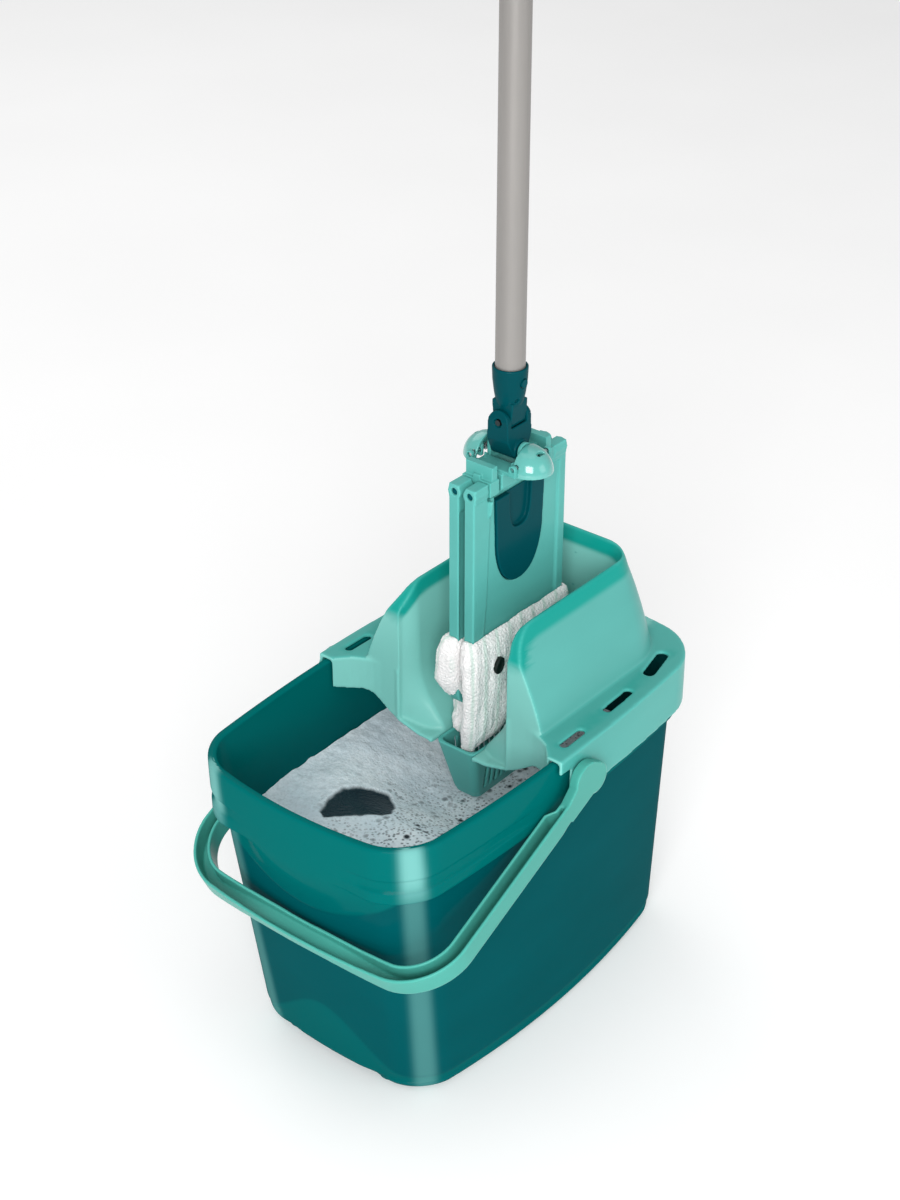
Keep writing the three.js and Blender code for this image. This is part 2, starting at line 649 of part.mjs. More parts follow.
function poleSocket() {
  const cup = turned([
    [0, SOCKET_Z + 9], [8, SOCKET_Z + 9], [10.2, SOCKET_Z + 14], [11.6, 486], [12.8, 496], [13.2, SOCKET_TOP],
    [POLE_RADIUS + GAP, SOCKET_TOP], [POLE_RADIUS + GAP, POLE_BOTTOM - GAP], [0, POLE_BOTTOM - GAP],
  ], MOP_X);
  const tongueHalf = PRONG_INSIDE - GAP;
  const hub = rod([MOP_X - tongueHalf, 0, SOCKET_Z], [MOP_X + tongueHalf, 0, SOCKET_Z], 8, 28);
  const neck = box(MOP_X - tongueHalf, MOP_X + tongueHalf, -6.5, 6.5, SOCKET_Z, SOCKET_Z + 14);
  const bore = rod([30, 0, SOCKET_Z], [100, 0, SOCKET_Z], 2.2 + 0.35);
  const buttonHole = rod([MOP_X, -9, BUTTON.z], [MOP_X, -20, BUTTON.z], BUTTON.radius + GAP);
  return cut(join(cup, hub, neck), bore, buttonHole);
}

function poleTube() {
  const inner = POLE_RADIUS - POLE_WALL;
  const tube = turned([
    [inner, POLE_BOTTOM], [POLE_RADIUS, POLE_BOTTOM], [POLE_RADIUS, POLE_TOP], [inner, POLE_TOP],
    [inner, POLE_BOTTOM],
  ], MOP_X);
  return tube.subtract(rod([MOP_X, -9, BUTTON.z], [MOP_X, -20, BUTTON.z], BUTTON.radius + GAP));
}

// A pin that lives on a leaf spring inside the tube and clicks through both walls.
function clickButton() {
  const pin = rod([MOP_X, -8.6, BUTTON.z], [MOP_X, -13.4, BUTTON.z], BUTTON.radius);
  const foot = rod([MOP_X, -7.2, BUTTON.z], [MOP_X, -8.8, BUTTON.z], BUTTON.radius + 1.2);
  return pin.add(foot);
}

function clickSpring() {
  const leaf = shapeOf([
    [-6.8, 488], [-6.2, 488], [-4.4, 512], [0, 517], [4.4, 512], [8.4, 490], [9, 490.4],
    [5, 512.6], [0, 518], [-5, 512.6],
  ]);
  return slabX(leaf, MOP_X - 3, MOP_X + 3);
}

function grip() {
  const inner = POLE_RADIUS + 0.3;
  const rings = [[inner, GRIP_BOTTOM], [13, GRIP_BOTTOM]];
  const waves = 9;
  const top = POLE_TOP - 4;
  for (let i = 0; i <= waves * 3; i += 1) {
    const t = i / (waves * 3);
    const z = THREE.MathUtils.lerp(GRIP_BOTTOM + 4, top - 4, t);
    rings.push([14.2 + 0.6 * Math.cos(t * waves * 2 * Math.PI), z]);
  }
  rings.push([13, top], [inner, top], [inner, GRIP_BOTTOM]);
  return turned(rings, MOP_X, 0, 24);
}

function endCap() {
  const plug = turned([
    [0, POLE_TOP - 22], [POLE_RADIUS - POLE_WALL - GAP, POLE_TOP - 22],
    [POLE_RADIUS - POLE_WALL - GAP, POLE_TOP + GAP], [12.4, POLE_TOP + GAP], [12.4, POLE_TOP + 8],
    [9, POLE_TOP + 12], [0, POLE_TOP + 12],
  ], MOP_X, 0, 32);
  const loop = new THREE.Shape();
  loop.moveTo(MOP_X - 9, POLE_TOP + 6);
  loop.lineTo(MOP_X + 9, POLE_TOP + 6);
  loop.lineTo(MOP_X + 11, POLE_TOP + 30);
  loop.absarc(MOP_X, POLE_TOP + 30, 11, 0, Math.PI);
  const eye = rod([MOP_X, -20, POLE_TOP + 29], [MOP_X, 20, POLE_TOP + 29], 6, 24);
  return cut(join(plug, slabY(loop, -4, 4)), eye);
}

// ---------- cover ----------
function cover(side) {
  const rings = COVER_OUTSIDE.map(([z, front, back, near, far]) => {
    const halfY = (far - near) / 2;
    const form = { x: (front + back) / 2, halfX: (back - front) / 2, halfY, radius: Math.min(8, halfY - 1) };
    const centre = side * (near + far) / 2;
    return atHeight(outline(form, 0, 4, 3), z).map((p) => p.setY(p.y + centre));
  });
  const c = COVER_CLEARANCE;
  const socket = box(
    WING_FRONT - c, WING_BACK + c, ...between(side, WING_INSIDE - c, WING_OUTSIDE + c), WING_TIP - c, 400,
  );
  return loft(rings).subtract(socket);
}

// ---------- assembly ----------
place(object, 'bucket_shell', bucket(), COLOUR.bucket, 0.35);
place(object, 'bail_handle', bail(), COLOUR.light, 0.4);

const pressGroup = new THREE.Group();
place(pressGroup, 'press_funnel', press(), COLOUR.light, 0.4);
place(pressGroup, 'strainer_basket', strainer(), COLOUR.light, 0.4);
object.add(pressGroup);

const mop = new THREE.Group();
place(mop, 'head_frame', headFrame(), COLOUR.light, 0.4);
const yokePin = rod([MOP_X, -15.6, YOKE_Z], [MOP_X, 15.6, YOKE_Z], 2.6);
place(mop, 'yoke_pin', yokePin, COLOUR.steel, 0.3, 0.8);
[['near', -1], ['far', 1]].forEach(([name, side]) => {
  const pin = rod([WING_FRONT + 1, side * PIN_Y, PIN_Z], [WING_BACK - 1, side * PIN_Y, PIN_Z], PIN_RADIUS);
  place(mop, `hinge_pin_${name}`, pin, COLOUR.dark, 0.4);
  place(mop, `wing_${name}`, wing(side), COLOUR.light, 0.4);
  place(mop, `insert_${name}`, insert(side), COLOUR.dark, 0.35);
  place(mop, `cover_${name}`, cover(side), COLOUR.cloth, 0.95);
  const pedalPin = rod(
    [MOP_X - PEDAL_PIN.halfLength, side * PEDAL_PIN.y, PEDAL_PIN.z],
    [MOP_X + PEDAL_PIN.halfLength, side * PEDAL_PIN.y, PEDAL_PIN.z],
    PEDAL_PIN.radius, 16,
  );
  place(mop, `pedal_pin_${name}`, pedalPin, COLOUR.steel, 0.3, 0.8);
  place(mop, `pedal_spring_${name}`, pedalSpring(side), COLOUR.steel, 0.3, 0.8);
  place(mop, `pedal_${name}`, pedal(side), COLOUR.light, 0.25);
});
place(mop, 'yoke', yoke(), COLOUR.dark, 0.4);
const socketPin = rod([MOP_X - YOKE_HALF, 0, SOCKET_Z], [MOP_X + YOKE_HALF, 0, SOCKET_Z], 2.2);
place(mop, 'socket_pin', socketPin, COLOUR.steel, 0.3, 0.8);
place(mop, 'pole_socket', poleSocket(), COLOUR.dark, 0.4);
place(mop, 'click_button', clickButton(), COLOUR.dark, 0.4);
place(mop, 'click_spring', clickSpring(), COLOUR.steel, 0.3, 0.8);
place(mop, 'pole_tube', poleTube(), COLOUR.pole, 0.4, 0.2);
place(mop, 'pole_grip', grip(), COLOUR.dark, 0.6);
place(mop, 'end_cap', endCap(), COLOUR.dark, 0.5);
object.add(mop);

export default object;
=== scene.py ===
# Blender scene of a folding flat mop standing in the press of its bucket.
# Shapes are worked out in millimetres in the part's own frame and built in metres.
import json
import math

import bmesh
import bpy
import numpy as np
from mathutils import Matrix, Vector

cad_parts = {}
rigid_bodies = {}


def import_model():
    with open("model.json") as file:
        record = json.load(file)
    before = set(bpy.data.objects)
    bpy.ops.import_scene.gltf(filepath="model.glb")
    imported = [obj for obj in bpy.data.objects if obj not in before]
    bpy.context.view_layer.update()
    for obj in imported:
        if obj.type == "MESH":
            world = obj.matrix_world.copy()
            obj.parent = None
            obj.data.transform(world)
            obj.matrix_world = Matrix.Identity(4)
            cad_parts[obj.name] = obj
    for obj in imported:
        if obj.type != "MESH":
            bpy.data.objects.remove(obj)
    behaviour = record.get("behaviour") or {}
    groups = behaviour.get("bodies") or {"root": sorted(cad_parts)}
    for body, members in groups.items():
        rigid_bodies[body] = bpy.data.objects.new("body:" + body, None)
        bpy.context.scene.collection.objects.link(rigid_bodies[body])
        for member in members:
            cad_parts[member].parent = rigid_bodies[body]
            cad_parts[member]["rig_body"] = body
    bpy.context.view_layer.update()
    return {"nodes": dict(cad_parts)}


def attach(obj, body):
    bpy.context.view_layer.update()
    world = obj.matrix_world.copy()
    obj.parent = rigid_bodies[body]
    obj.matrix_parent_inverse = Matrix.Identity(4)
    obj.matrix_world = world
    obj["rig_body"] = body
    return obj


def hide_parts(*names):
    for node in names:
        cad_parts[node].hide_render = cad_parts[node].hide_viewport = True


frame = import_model()
nodes = frame["nodes"]
random = np.random.default_rng(7)

# ---------- dimensions in millimetres ----------
RIM = dict(x=0, halfX=172.6, halfY=102.2, bowX=12.1, bowY=10.3, radius=34)
BASE = dict(x=16, halfX=154, halfY=86, bowX=8, bowY=16, radius=30)
RIM_TOP = 255
STUB = (14, 231)
BAIL = dict(x=0, halfX=208, halfY=126, bowX=9, bowY=0, radius=44)
BAIL_SLOPE = math.radians(25)
FLANGE_TOP = 258.4
COLLAR = [
    (255.4, 86, 172), (275, 79, 170.5), (294, 71, 168.5), (310, 63, 166.5), (320, 57.5, 165),
    (327, 54.5, 163.8), (331, 52.4, 162.5),
]
THROAT = [
    (205, 19.3, 146), (210, 19.6, 146), (222, 27, 147), (235, 36, 148.5), (250, 42, 150),
    (270, 44.4, 151.5), (312, 46, 154), (324, 48, 156.5), (332, 50.6, 160),
]
PRESS_FRONT = -40
EAR = (-19, 104)
FRONT_PLAN = [EAR, (-8, 94), (-5, 89), (-2.5, 83), (-0.8, 77), (0, 70)]
APRON = [(104, 231.5), (94, 229.5), (86, 230), (80, 228.8), (75, 226), (67, 220.5), (57.4, 214.5), (43, 210),
         (32, 207.3)]
MOUTH = (51.5, 17)
SLOTS = [(12, 103.5, 27, 6.5, -1), (73, 100.5, 35, 6.5, -3), (133, 93.5, 36, 9, -13)]
STRAINER = [(158, 11.5, 17, 130), (164, 12.8, 14.5, 133), (209, 18.9, 2.4, 145)]
MOP_X = 66
PIN = (7, 424)
WING = dict(front=11, back=121, top=415, tip=238, inside=2.6, outside=11.6)
TOP_PLATE = 430.4
YOKE_Z = 442
SOCKET_Z = 465
SUDS_Z = 178


# ---------- mesh helpers ----------
def add_object(name, mesh):
    obj = bpy.data.objects.new(name, mesh)
    bpy.context.scene.collection.objects.link(obj)
    return obj


def build(name, points, faces, smooth=True):
    mesh = bpy.data.meshes.new(name)
    mesh.from_pydata((np.asarray(points, float) / 1000).tolist(), [], faces)
    mesh.polygons.foreach_set("use_smooth", [smooth] * len(mesh.polygons))
    mesh.update()
    return add_object(name, mesh)


def settle(obj):
    """Applies the object's modifiers to its mesh."""
    graph = bpy.context.evaluated_depsgraph_get()
    mesh = bpy.data.meshes.new_from_object(obj.evaluated_get(graph))
    obj.modifiers.clear()
    obj.data = mesh
    return obj


def outline(form, offset=0, corner=24, side=48):
    """A rounded rectangle with bowed sides; a value of form, and offset, may be one number for each point."""
    quarters = [(1, 1), (-1, 1), (-1, -1), (1, -1)]
    centres = []
    angles = []
    for q in range(4):
        here = np.array(quarters[q], float)
        there = np.array(quarters[(q + 1) % 4], float)
        for i in range(corner + 1):
            centres.append(here)
            angles.append((q + i / corner) * math.pi / 2)
        for i in range(1, side):
            centres.append(here + (there - here) * i / side)
            angles.append((q + 1) * math.pi / 2)
    u, v = np.array(centres).T
    angles = np.array(angles)
    a = form["halfX"] + offset
    b = form["halfY"] + offset
    r = np.maximum(form["radius"] + offset, 1)
    px = u * (a - r) + r * np.cos(angles)
    py = v * (b - r) + r * np.sin(angles)
    px[np.abs(px) < 1e-9] = 0
    py[np.abs(py) < 1e-9] = 0
    x = form.get("x", 0) + px + np.sign(px) * form.get("bowX", 0) * (1 - (py / b) ** 2)
    y = py + np.sign(py) * form.get("bowY", 0) * (1 - (px / a) ** 2)
    return np.stack([x, y], 1)


def ring_at(points, z):
    return np.column_stack([points, np.broadcast_to(z, len(points))])


def loft(name, rings, closed=False):
    """Quads through matching rings, capped at both ends unless the rings close on themselves."""
    count = len(rings[0])
    points = np.vstack(rings)
    faces = []
    for i in range(len(rings) if closed else len(rings) - 1):
        low = i * count
        high = (i + 1) % len(rings) * count
        for j in range(count):
            k = (j + 1) % count
            faces.append((low + j, low + k, high + k, high + j))
    if not closed:
        faces.append(tuple(reversed(range(count))))
        faces.append(tuple(range(len(points) - count, len(points))))
    return build(name, points, faces)


def box(x0, x1, y0, y1, z0, z1):
    y0, y1 = sorted((y0, y1))
    ring = np.array([(x0, y0), (x1, y0), (x1, y1), (x0, y1)], float)
    return loft("box", [ring_at(ring, z0), ring_at(ring, z1)])


def rod(start, end, radius, segments=48, end_radius=None):
    start, end = np.array(start, float), np.array(end, float)
    along = (end - start) / np.linalg.norm(end - start)
    side = np.cross(along, (0, 0, 1) if abs(along[2]) < 0.9 else (1, 0, 0))
    side /= np.linalg.norm(side)
    other = np.cross(along, side)
    angles = np.arange(segments) * 2 * math.pi / segments
    circle = np.outer(np.cos(angles), side) + np.outer(np.sin(angles), other)
    last = radius if end_radius is None else end_radius
    return loft("rod", [start + circle * radius, end + circle * last])


def slab(points, low, high, axis):
    """An extrusion of a drawing in plan (axis z), from the side as x, z (y) or from the front as y, z (x)."""
    ring = np.array(points, float)
    area = np.sum(ring[:, 0] * np.roll(ring[:, 1], -1) - np.roll(ring[:, 0], -1) * ring[:, 1])
    if (area < 0) != (axis == "y"):
        ring = ring[::-1]
    low, high = sorted((low, high))

    def place(level):
        level = np.full(len(ring), float(level))
        columns = {"x": (level, ring[:, 0], ring[:, 1]), "y": (ring[:, 0], level, ring[:, 1])}
        return np.column_stack(columns.get(axis, (ring[:, 0], ring[:, 1], level)))

    return loft("slab", [place(low), place(high)])


def lathe(profile, x=0, y=0, segments=64, name="lathe"):
    """A solid of revolution about a vertical axis; the profile starts and ends on the axis or closes."""
    angles = np.arange(segments) * 2 * math.pi / segments
    cos, sin = np.cos(angles), np.sin(angles)
    rings = [
        np.column_stack([x + max(r, 0.01) * cos, y + max(r, 0.01) * sin, np.full(segments, float(z))])
        for r, z in profile
    ]
    return loft(name, rings, closed=profile[0][0] > 0)


def combine(target, tool, operation):
    modifier = target.modifiers.new("combine", "BOOLEAN")
    modifier.object = tool
    modifier.operation = operation
    modifier.solver = "MANIFOLD"
    settle(target)
    bpy.data.objects.remove(tool)
    return target


def join(first, *others):
    for other in others:
        combine(first, other, "UNION")
    return first


def cut(first, *others):
    for other in others:
        combine(first, other, "DIFFERENCE")
    return first


def common(first, *others):
    for other in others:
        combine(first, other, "INTERSECT")
    return first


def mould(obj, voxel, rounds=4, keep=1.0):
    """Rounds every edge a little, as a moulding has them."""
    remesh = obj.modifiers.new("remesh", "REMESH")
    remesh.mode = "VOXEL"
    remesh.voxel_size = voxel / 1000
    remesh.use_smooth_shade = True
    smooth = obj.modifiers.new("smooth", "SMOOTH")
    smooth.factor = 0.5
    smooth.iterations = rounds
    if keep < 1:
        decimate = obj.modifiers.new("decimate", "DECIMATE")
        decimate.ratio = keep
    settle(obj)
    obj.data.polygons.foreach_set("use_smooth", [True] * len(obj.data.polygons))
    return obj


def rounded(corners, radii, steps=4):
    """A polygon with arcs at its corners, always with the same number of points."""
    corners = [np.array(c, float) for c in corners]
    points = []
    for i, corner in enumerate(corners):
        before = corners[i - 1] - corner
        after = corners[(i + 1) % len(corners)] - corner
        reach = min(radii[i], np.linalg.norm(before) * 0.49, np.linalg.norm(after) * 0.49)
        start = corner + before / np.linalg.norm(before) * reach
        end = corner + after / np.linalg.norm(after) * reach
        for k in range(steps + 1):
            t = k / steps
            points.append((1 - t) ** 2 * start + 2 * t * (1 - t) * corner + t ** 2 * end)
    return np.array(points)


def smoothstep(low, high, value):
    t = np.clip((value - low) / (high - low), 0, 1)
    return t * t * (3 - 2 * t)


def finish_piece(obj, name, body, slot, material, *replaced):
    shell = bmesh.new()
    shell.from_mesh(obj.data)
    bmesh.ops.recalc_face_normals(shell, faces=shell.faces)
    shell.to_mesh(obj.data)
    shell.free()
    obj.name = name
    obj.data.name = name
    obj.data.materials.clear()
    obj.data.materials.append(material)
    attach(obj, body)
    if replaced:
        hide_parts(*replaced)
    return obj


def between(side, a, b):
    return (-b, -a) if side < 0 else (a, b)


# ---------- materials ----------
class Graph:
    """Shorthand for building a node material."""

    def __init__(self, name):
        self.material = bpy.data.materials.new(name)
        self.material.use_nodes = True
        self.tree = self.material.node_tree
        self.shader = self.tree.nodes["Principled BSDF"]

    def add(self, kind, **values):
        node = self.tree.nodes.new(kind)
        for key, value in values.items():
            if key in node.inputs:
                node.inputs[key].default_value = value
            else:
                setattr(node, key, value)
        return node

    def link(self, source, target):
        self.tree.links.new(source, target)

    def place(self):
        """Object coordinates, which are metres in the part's frame."""
        return self.add("ShaderNodeTexCoord").outputs["Object"]

    def noise(self, scale, detail=2.0, stretch=None, roughness=0.5):
        node = self.add("ShaderNodeTexNoise", Scale=scale, Detail=detail, Roughness=roughness)
        if stretch:
            mapping = self.add("ShaderNodeMapping", Scale=stretch)
            self.link(self.place(), mapping.inputs["Vector"])
            self.link(mapping.outputs["Vector"], node.inputs["Vector"])
        else:
            self.link(self.place(), node.inputs["Vector"])
        return node.outputs["Fac"]

    def ramp(self, factor, stops):
        node = self.add("ShaderNodeValToRGB")
        while len(node.color_ramp.elements) < len(stops):
            node.color_ramp.elements.new(0.5)
        for element, (position, color) in zip(node.color_ramp.elements, stops):
            element.position = position
            element.color = (*color, 1)
        self.link(factor, node.inputs["Fac"])
        return node.outputs["Color"]

    def range(self, factor, low, high, start=0.3, end=0.7):
        node = self.add("ShaderNodeMapRange")
        node.inputs["From Min"].default_value = start
        node.inputs["From Max"].default_value = end
        node.inputs["To Min"].default_value = low
        node.inputs["To Max"].default_value = high
        self.link(factor, node.inputs["Value"])
        return node.outputs["Result"]

    def mix(self, factor, first, second, blend="MIX"):
        node = self.add("ShaderNodeMix", data_type="RGBA", blend_type=blend)
        for socket, value in ((node.inputs[0], factor), (node.inputs[6], first), (node.inputs[7], second)):
            if hasattr(value, "links"):
                self.link(value, socket)
            else:
                socket.default_value = value if isinstance(value, float) else (*value, 1)
        return node.outputs[2]

    def math(self, operation, first, second=0.0):
        node = self.add("ShaderNodeMath", operation=operation)
        for socket, value in zip(node.inputs, (first, second)):
            if hasattr(value, "links"):
                self.link(value, socket)
            else:
                socket.default_value = value
        return node.outputs[0]

    def bump(self, height, distance, strength=1.0, normal=None):
        node = self.add("ShaderNodeBump", Strength=strength, Distance=distance)
        self.link(height, node.inputs["Height"])
        if normal:
            self.link(normal, node.inputs["Normal"])
        return node.outputs["Normal"]

    def edges(self, low=0.5, high=0.56):
        pointed = self.add("ShaderNodeNewGeometry").outputs["Pointiness"]
        return self.range(pointed, 0.0, 1.0, low, high)


def linear(code):
    channels = [int(code[i:i + 2], 16) / 255 for i in (1, 3, 5)]
    return tuple(c / 12.92 if c <= 0.04045 else ((c + 0.055) / 1.055) ** 2.4 for c in channels)


def shade(color, amount):
    return tuple(c * amount for c in color)


def plastic(name, code, rough=(0.3, 0.4), grain=0.00002, coat=0.15, mottle=0.05, edge=0.25, gloss=0.25,
            light_and_shade_color=None, highlight_color=None):
    """Injection-moulded plastic: faint flow marks, an orange-peel skin, hairline scratches, pale edges that are
    partly edge wear and partly a painted highlight.
    toned is the colour of painted light and shade, full where the mesh's tone attribute is 1; streaked is the colour
    of a painted highlight, where its streak attribute is."""
    g = Graph(name)
    color = linear(code)
    flow = g.noise(9, 3, (1, 1, 2.6))
    base = g.ramp(flow, [(0.3, shade(color, 1 - mottle)), (0.7, shade(color, 1 + mottle))])
    # The two attribute masks mix in painted light and shade, and a painted highlight.
    for attribute, other in (("painted_light_and_shade", light_and_shade_color), ("painted_highlight", highlight_color)):
        if other:
            mask = g.add("ShaderNodeAttribute", attribute_name=attribute)
            base = g.mix(mask.outputs["Fac"], base, linear(other))
    # Pale edges: pointiness lightens convex edges, partly as edge wear and partly as a painted highlight.
    edge_worn_and_lit = g.mix(g.math("MULTIPLY", g.edges(), edge), base, shade(color, 1.7))
    g.link(edge_worn_and_lit, g.shader.inputs["Base Color"])
    scratches = g.noise(60, 4, (1, 1, 14), 0.6)
    smears = g.noise(24, 3)
    rough_mix = g.math("ADD", g.range(smears, *rough), g.range(scratches, 0.0, 0.05, 0.5, 0.75))
    g.link(rough_mix, g.shader.inputs["Roughness"])
    peel = g.noise(900, 2)
    skin = g.bump(peel, grain)
    waves = g.bump(g.noise(14, 1), 0.0004, 0.12, skin)
    g.link(waves, g.shader.inputs["Normal"])
    g.shader.inputs["Specular IOR Level"].default_value = gloss
    g.shader.inputs["Coat Weight"].default_value = coat
    g.shader.inputs["Coat Roughness"].default_value = 0.12
    return g.material


def brushed_metal(name, code, rough, metallic, stretch):
    g = Graph(name)
    color = linear(code)
    lines = g.noise(40, 5, stretch, 0.7)
    base = g.ramp(lines, [(0.25, shade(color, 0.9)), (0.75, shade(color, 1.08))])
    g.link(base, g.shader.inputs["Base Color"])
    g.link(g.range(lines, rough[0], rough[1]), g.shader.inputs["Roughness"])
    g.link(g.bump(lines, 0.00003), g.shader.inputs["Normal"])
    g.shader.inputs["Metallic"].default_value = metallic
    return g.material


# The bucket's second colour is painted light on the rim band and grips, its third a painted highlight on the corners.
bucket_plastic = plastic("bucket plastic", "#004e53", (0.26, 0.34), coat=0.05, gloss=0.0,
                         light_and_shade_color="#006563", highlight_color="#6fb0ab")
light_plastic = plastic("light plastic", "#55a8a1", (0.34, 0.44), edge=0.3, coat=0.08, gloss=0.15)
bail_plastic = plastic("bail plastic", "#459e92", (0.3, 0.4), edge=0.35, coat=0.1, gloss=0.15)
# The press's darker teal is painted shade, its pale teal painted light on the faces turned to the front.
press_plastic = plastic("press plastic", "#58a9a2", (0.3, 0.4), edge=0.3, coat=0.1, gloss=0.15, light_and_shade_color="#0b968b",
                        highlight_color="#84c9c0")
gloss_plastic = plastic("polished light plastic", "#58aca4", (0.10, 0.16), coat=0.7, edge=0.2, gloss=0.5)
dark_plastic = plastic("dark plastic", "#00434a", (0.3, 0.4), edge=0.3, coat=0.05, gloss=0.02)
grip_rubber = plastic("grip rubber", "#00494d", (0.5, 0.62), 0.00006, coat=0.0, edge=0.2)
eyelet_rubber = plastic("eyelet rubber", "#0a1a17", (0.5, 0.6), 0.00004, coat=0.0, edge=0.1)
aluminium = brushed_metal("anodised tube", "#8f8c89", (0.34, 0.46), 0.35, (1, 1, 0.04))
steel = brushed_metal("steel", "#b8bbbd", (0.2, 0.32), 1.0, (1, 6, 6))
dark_steel = brushed_metal("blackened steel", "#30393b", (0.3, 0.42), 0.8, (1, 6, 6))


# ---------- bucket ----------
def bucket_form(z):
    t = z / RIM_TOP
    return {key: BASE.get(key, 0) * (1 - t) + RIM.get(key, 0) * t for key in RIM}


def bucket_side(points, z):
    """How far the outer face stands out from the rim's form (above) or the wall's form (below)."""
    x, y = points[:, 0], points[:, 1]
    front = (x < -120) & (np.abs(y) < 90)
    corner = smoothstep(34, 74, np.abs(y))
    corner = np.where(x > -120, 1, corner)
    lower = np.where(front, 166 + 42 * np.minimum(np.abs(y) / 90, 1) ** 2, 208)
    grooved = corner * (1 - smoothstep(-70, -30, x))
    return corner, lower, grooved


def make_bucket():
    heights = np.concatenate([
        np.linspace(10, 70, 34, endpoint=False),
        np.linspace(70, 156, 20, endpoint=False),
        np.linspace(156, 204, 26, endpoint=False),
        np.linspace(204, 252, 46, endpoint=False),
    ])
    rim = outline(RIM)
    corner, lower, grooved = bucket_side(rim, RIM_TOP)
    is_front = (rim[:, 0] < -120) & (np.abs(rim[:, 1]) < 96)
    rings = []

    def wall_offset(z):
        return -4 * (0.2 + 0.8 * z / RIM_TOP)

    def heel(z):
        """Set-back of the tipping grip in the front and of the strip round the foot."""
        y = rim[:, 1]
        top = np.where(is_front, 17 + 43 * (1 - smoothstep(0, 74, np.abs(y))), 17)
        inset = 1.1 * (1 - smoothstep(top - 1.6, top + 1.6, z))
        depth = np.clip((top - z) / np.maximum(top, 1), 0, 1)
        scoop = np.where(is_front, 5.5 * depth ** 1.6 * (1 - smoothstep(30, 70, np.abs(y))), 0)
        return inset + scoop

    for step in range(9):
        angle = step * math.pi / 16
        z = 10 * (1 - math.cos(angle))
        rings.append(ring_at(outline(bucket_form(z), -0.8 - 10 * (1 - math.sin(angle)) - heel(z)), z))
    for z in heights:
        form = bucket_form(z)
        plain = outline(form, wall_offset(z) - heel(z))
        t = (z - lower) / (252 - lower)
        swell = outline(RIM, np.where(t > 0, -6.4 + 6.4 * smoothstep(0, 1, t) ** 0.8, -6.4))
        band = outline(RIM, -0.9 * (1 - smoothstep(208, 252, z)) - 1.9 * grooved * (
            smoothstep(217, 219.5, z) - smoothstep(226.5, 229, z)))
        mix = smoothstep(206.4, 208.4, z)
        sides = plain * (1 - mix) + band * mix
        into = smoothstep(0, 1, (z - lower) / 44)[:, None]
        raised = outline(form, wall_offset(z) + 1.3 * smoothstep(-1.4, 1.4, z - lower))
        centre = raised * (1 - into) + np.where(into > 0, swell, raised) * into
        weight = np.where(is_front, corner, 1)[:, None]
        rings.append(ring_at(sides * weight + centre * (1 - weight), z))
    for k in range(1, 9):
        angle = k * math.pi / 16
        rings.append(ring_at(outline(RIM, -2.2 * (1 - math.cos(angle))), 252.2 + 2.8 * math.sin(angle)))
    for offset in (-2.9, -3.6, -4.2):
        rings.append(ring_at(outline(RIM, offset), RIM_TOP))
    for k in range(1, 9):
        angle = k * math.pi / 16
        rings.append(ring_at(outline(RIM, -4.2 - 2.2 * math.sin(angle)), 252.8 + 2.2 * math.cos(angle)))
    for z in np.concatenate([np.linspace(250, 200, 16), np.linspace(190, 20, 22)]):
        rings.append(ring_at(outline(bucket_form(z), wall_offset(z) - 2.2), z))
    for k in range(8):
        angle = (k + 1) * math.pi / 16
        z = 3 + 8 * (1 - math.sin(angle))
        rings.append(ring_at(outline(bucket_form(z), wall_offset(0) - 2.2 - 8 * (1 - math.cos(angle))), z))
    bucket = loft("bucket_shell", rings)
    stubs = []
    for side in (-1, 1):
        x, z = STUB
        profile = [(5, 109), (5, 123.6), (4.6, 124.6), (3.6, 125), (0.01, 125)]
        angles = np.arange(40) * 2 * math.pi / 40
        stubs.append(loft("stub", [
            np.column_stack([x + r * np.cos(angles), np.full(40, side * y), z - side * r * np.sin(angles)])
            for r, y in profile
        ]))
    feet = []
    for x, y in ((-128, 46), (-128, -46), (130, 46), (130, -46)):
        feet.append(lathe([(0, 0.1), (9, 0.1), (9.6, 0.8), (9.6, 4), (0, 4)], x, y))
    bucket = merge(bucket, *stubs, *feet)
    points = coordinates(bucket)
    x, y, z = points.T
    reach = np.abs(x) > 60
    edge_top = np.where((x < -120) & (np.abs(y) < 90), 166 + 42 * np.minimum(np.abs(y) / 90, 1) ** 2, 208)
    heel_top = np.where((x < -120) & (np.abs(y) < 96), 17 + 43 * (1 - smoothstep(0, 74, np.abs(y))), 17)
    # Painted light: the rim band, its arc on the front, the strip round the foot and the tipping grip are painted
    # lighter, and the inside lighter towards the top.
    painted_light_and_shade = smoothstep(-1.5, 1.5, z - edge_top) * np.where(z > 208, 1, 0.45 + 0.55 * smoothstep(166, 212, z))
    painted_light_and_shade = np.maximum(painted_light_and_shade, 0.5 * (1 - smoothstep(-1.5, 1.5, z - heel_top)))
    t = z / RIM_TOP
    middle = BASE["x"] * (1 - t)
    facing = normals(bucket)
    outward = facing[:, 0] * (x - middle) / RIM["halfX"] + facing[:, 1] * y / RIM["halfY"] > 0
    paint(bucket, "painted_light_and_shade", np.where(outward | (z > 254), painted_light_and_shade, 0.75 * smoothstep(110, 250, z)))
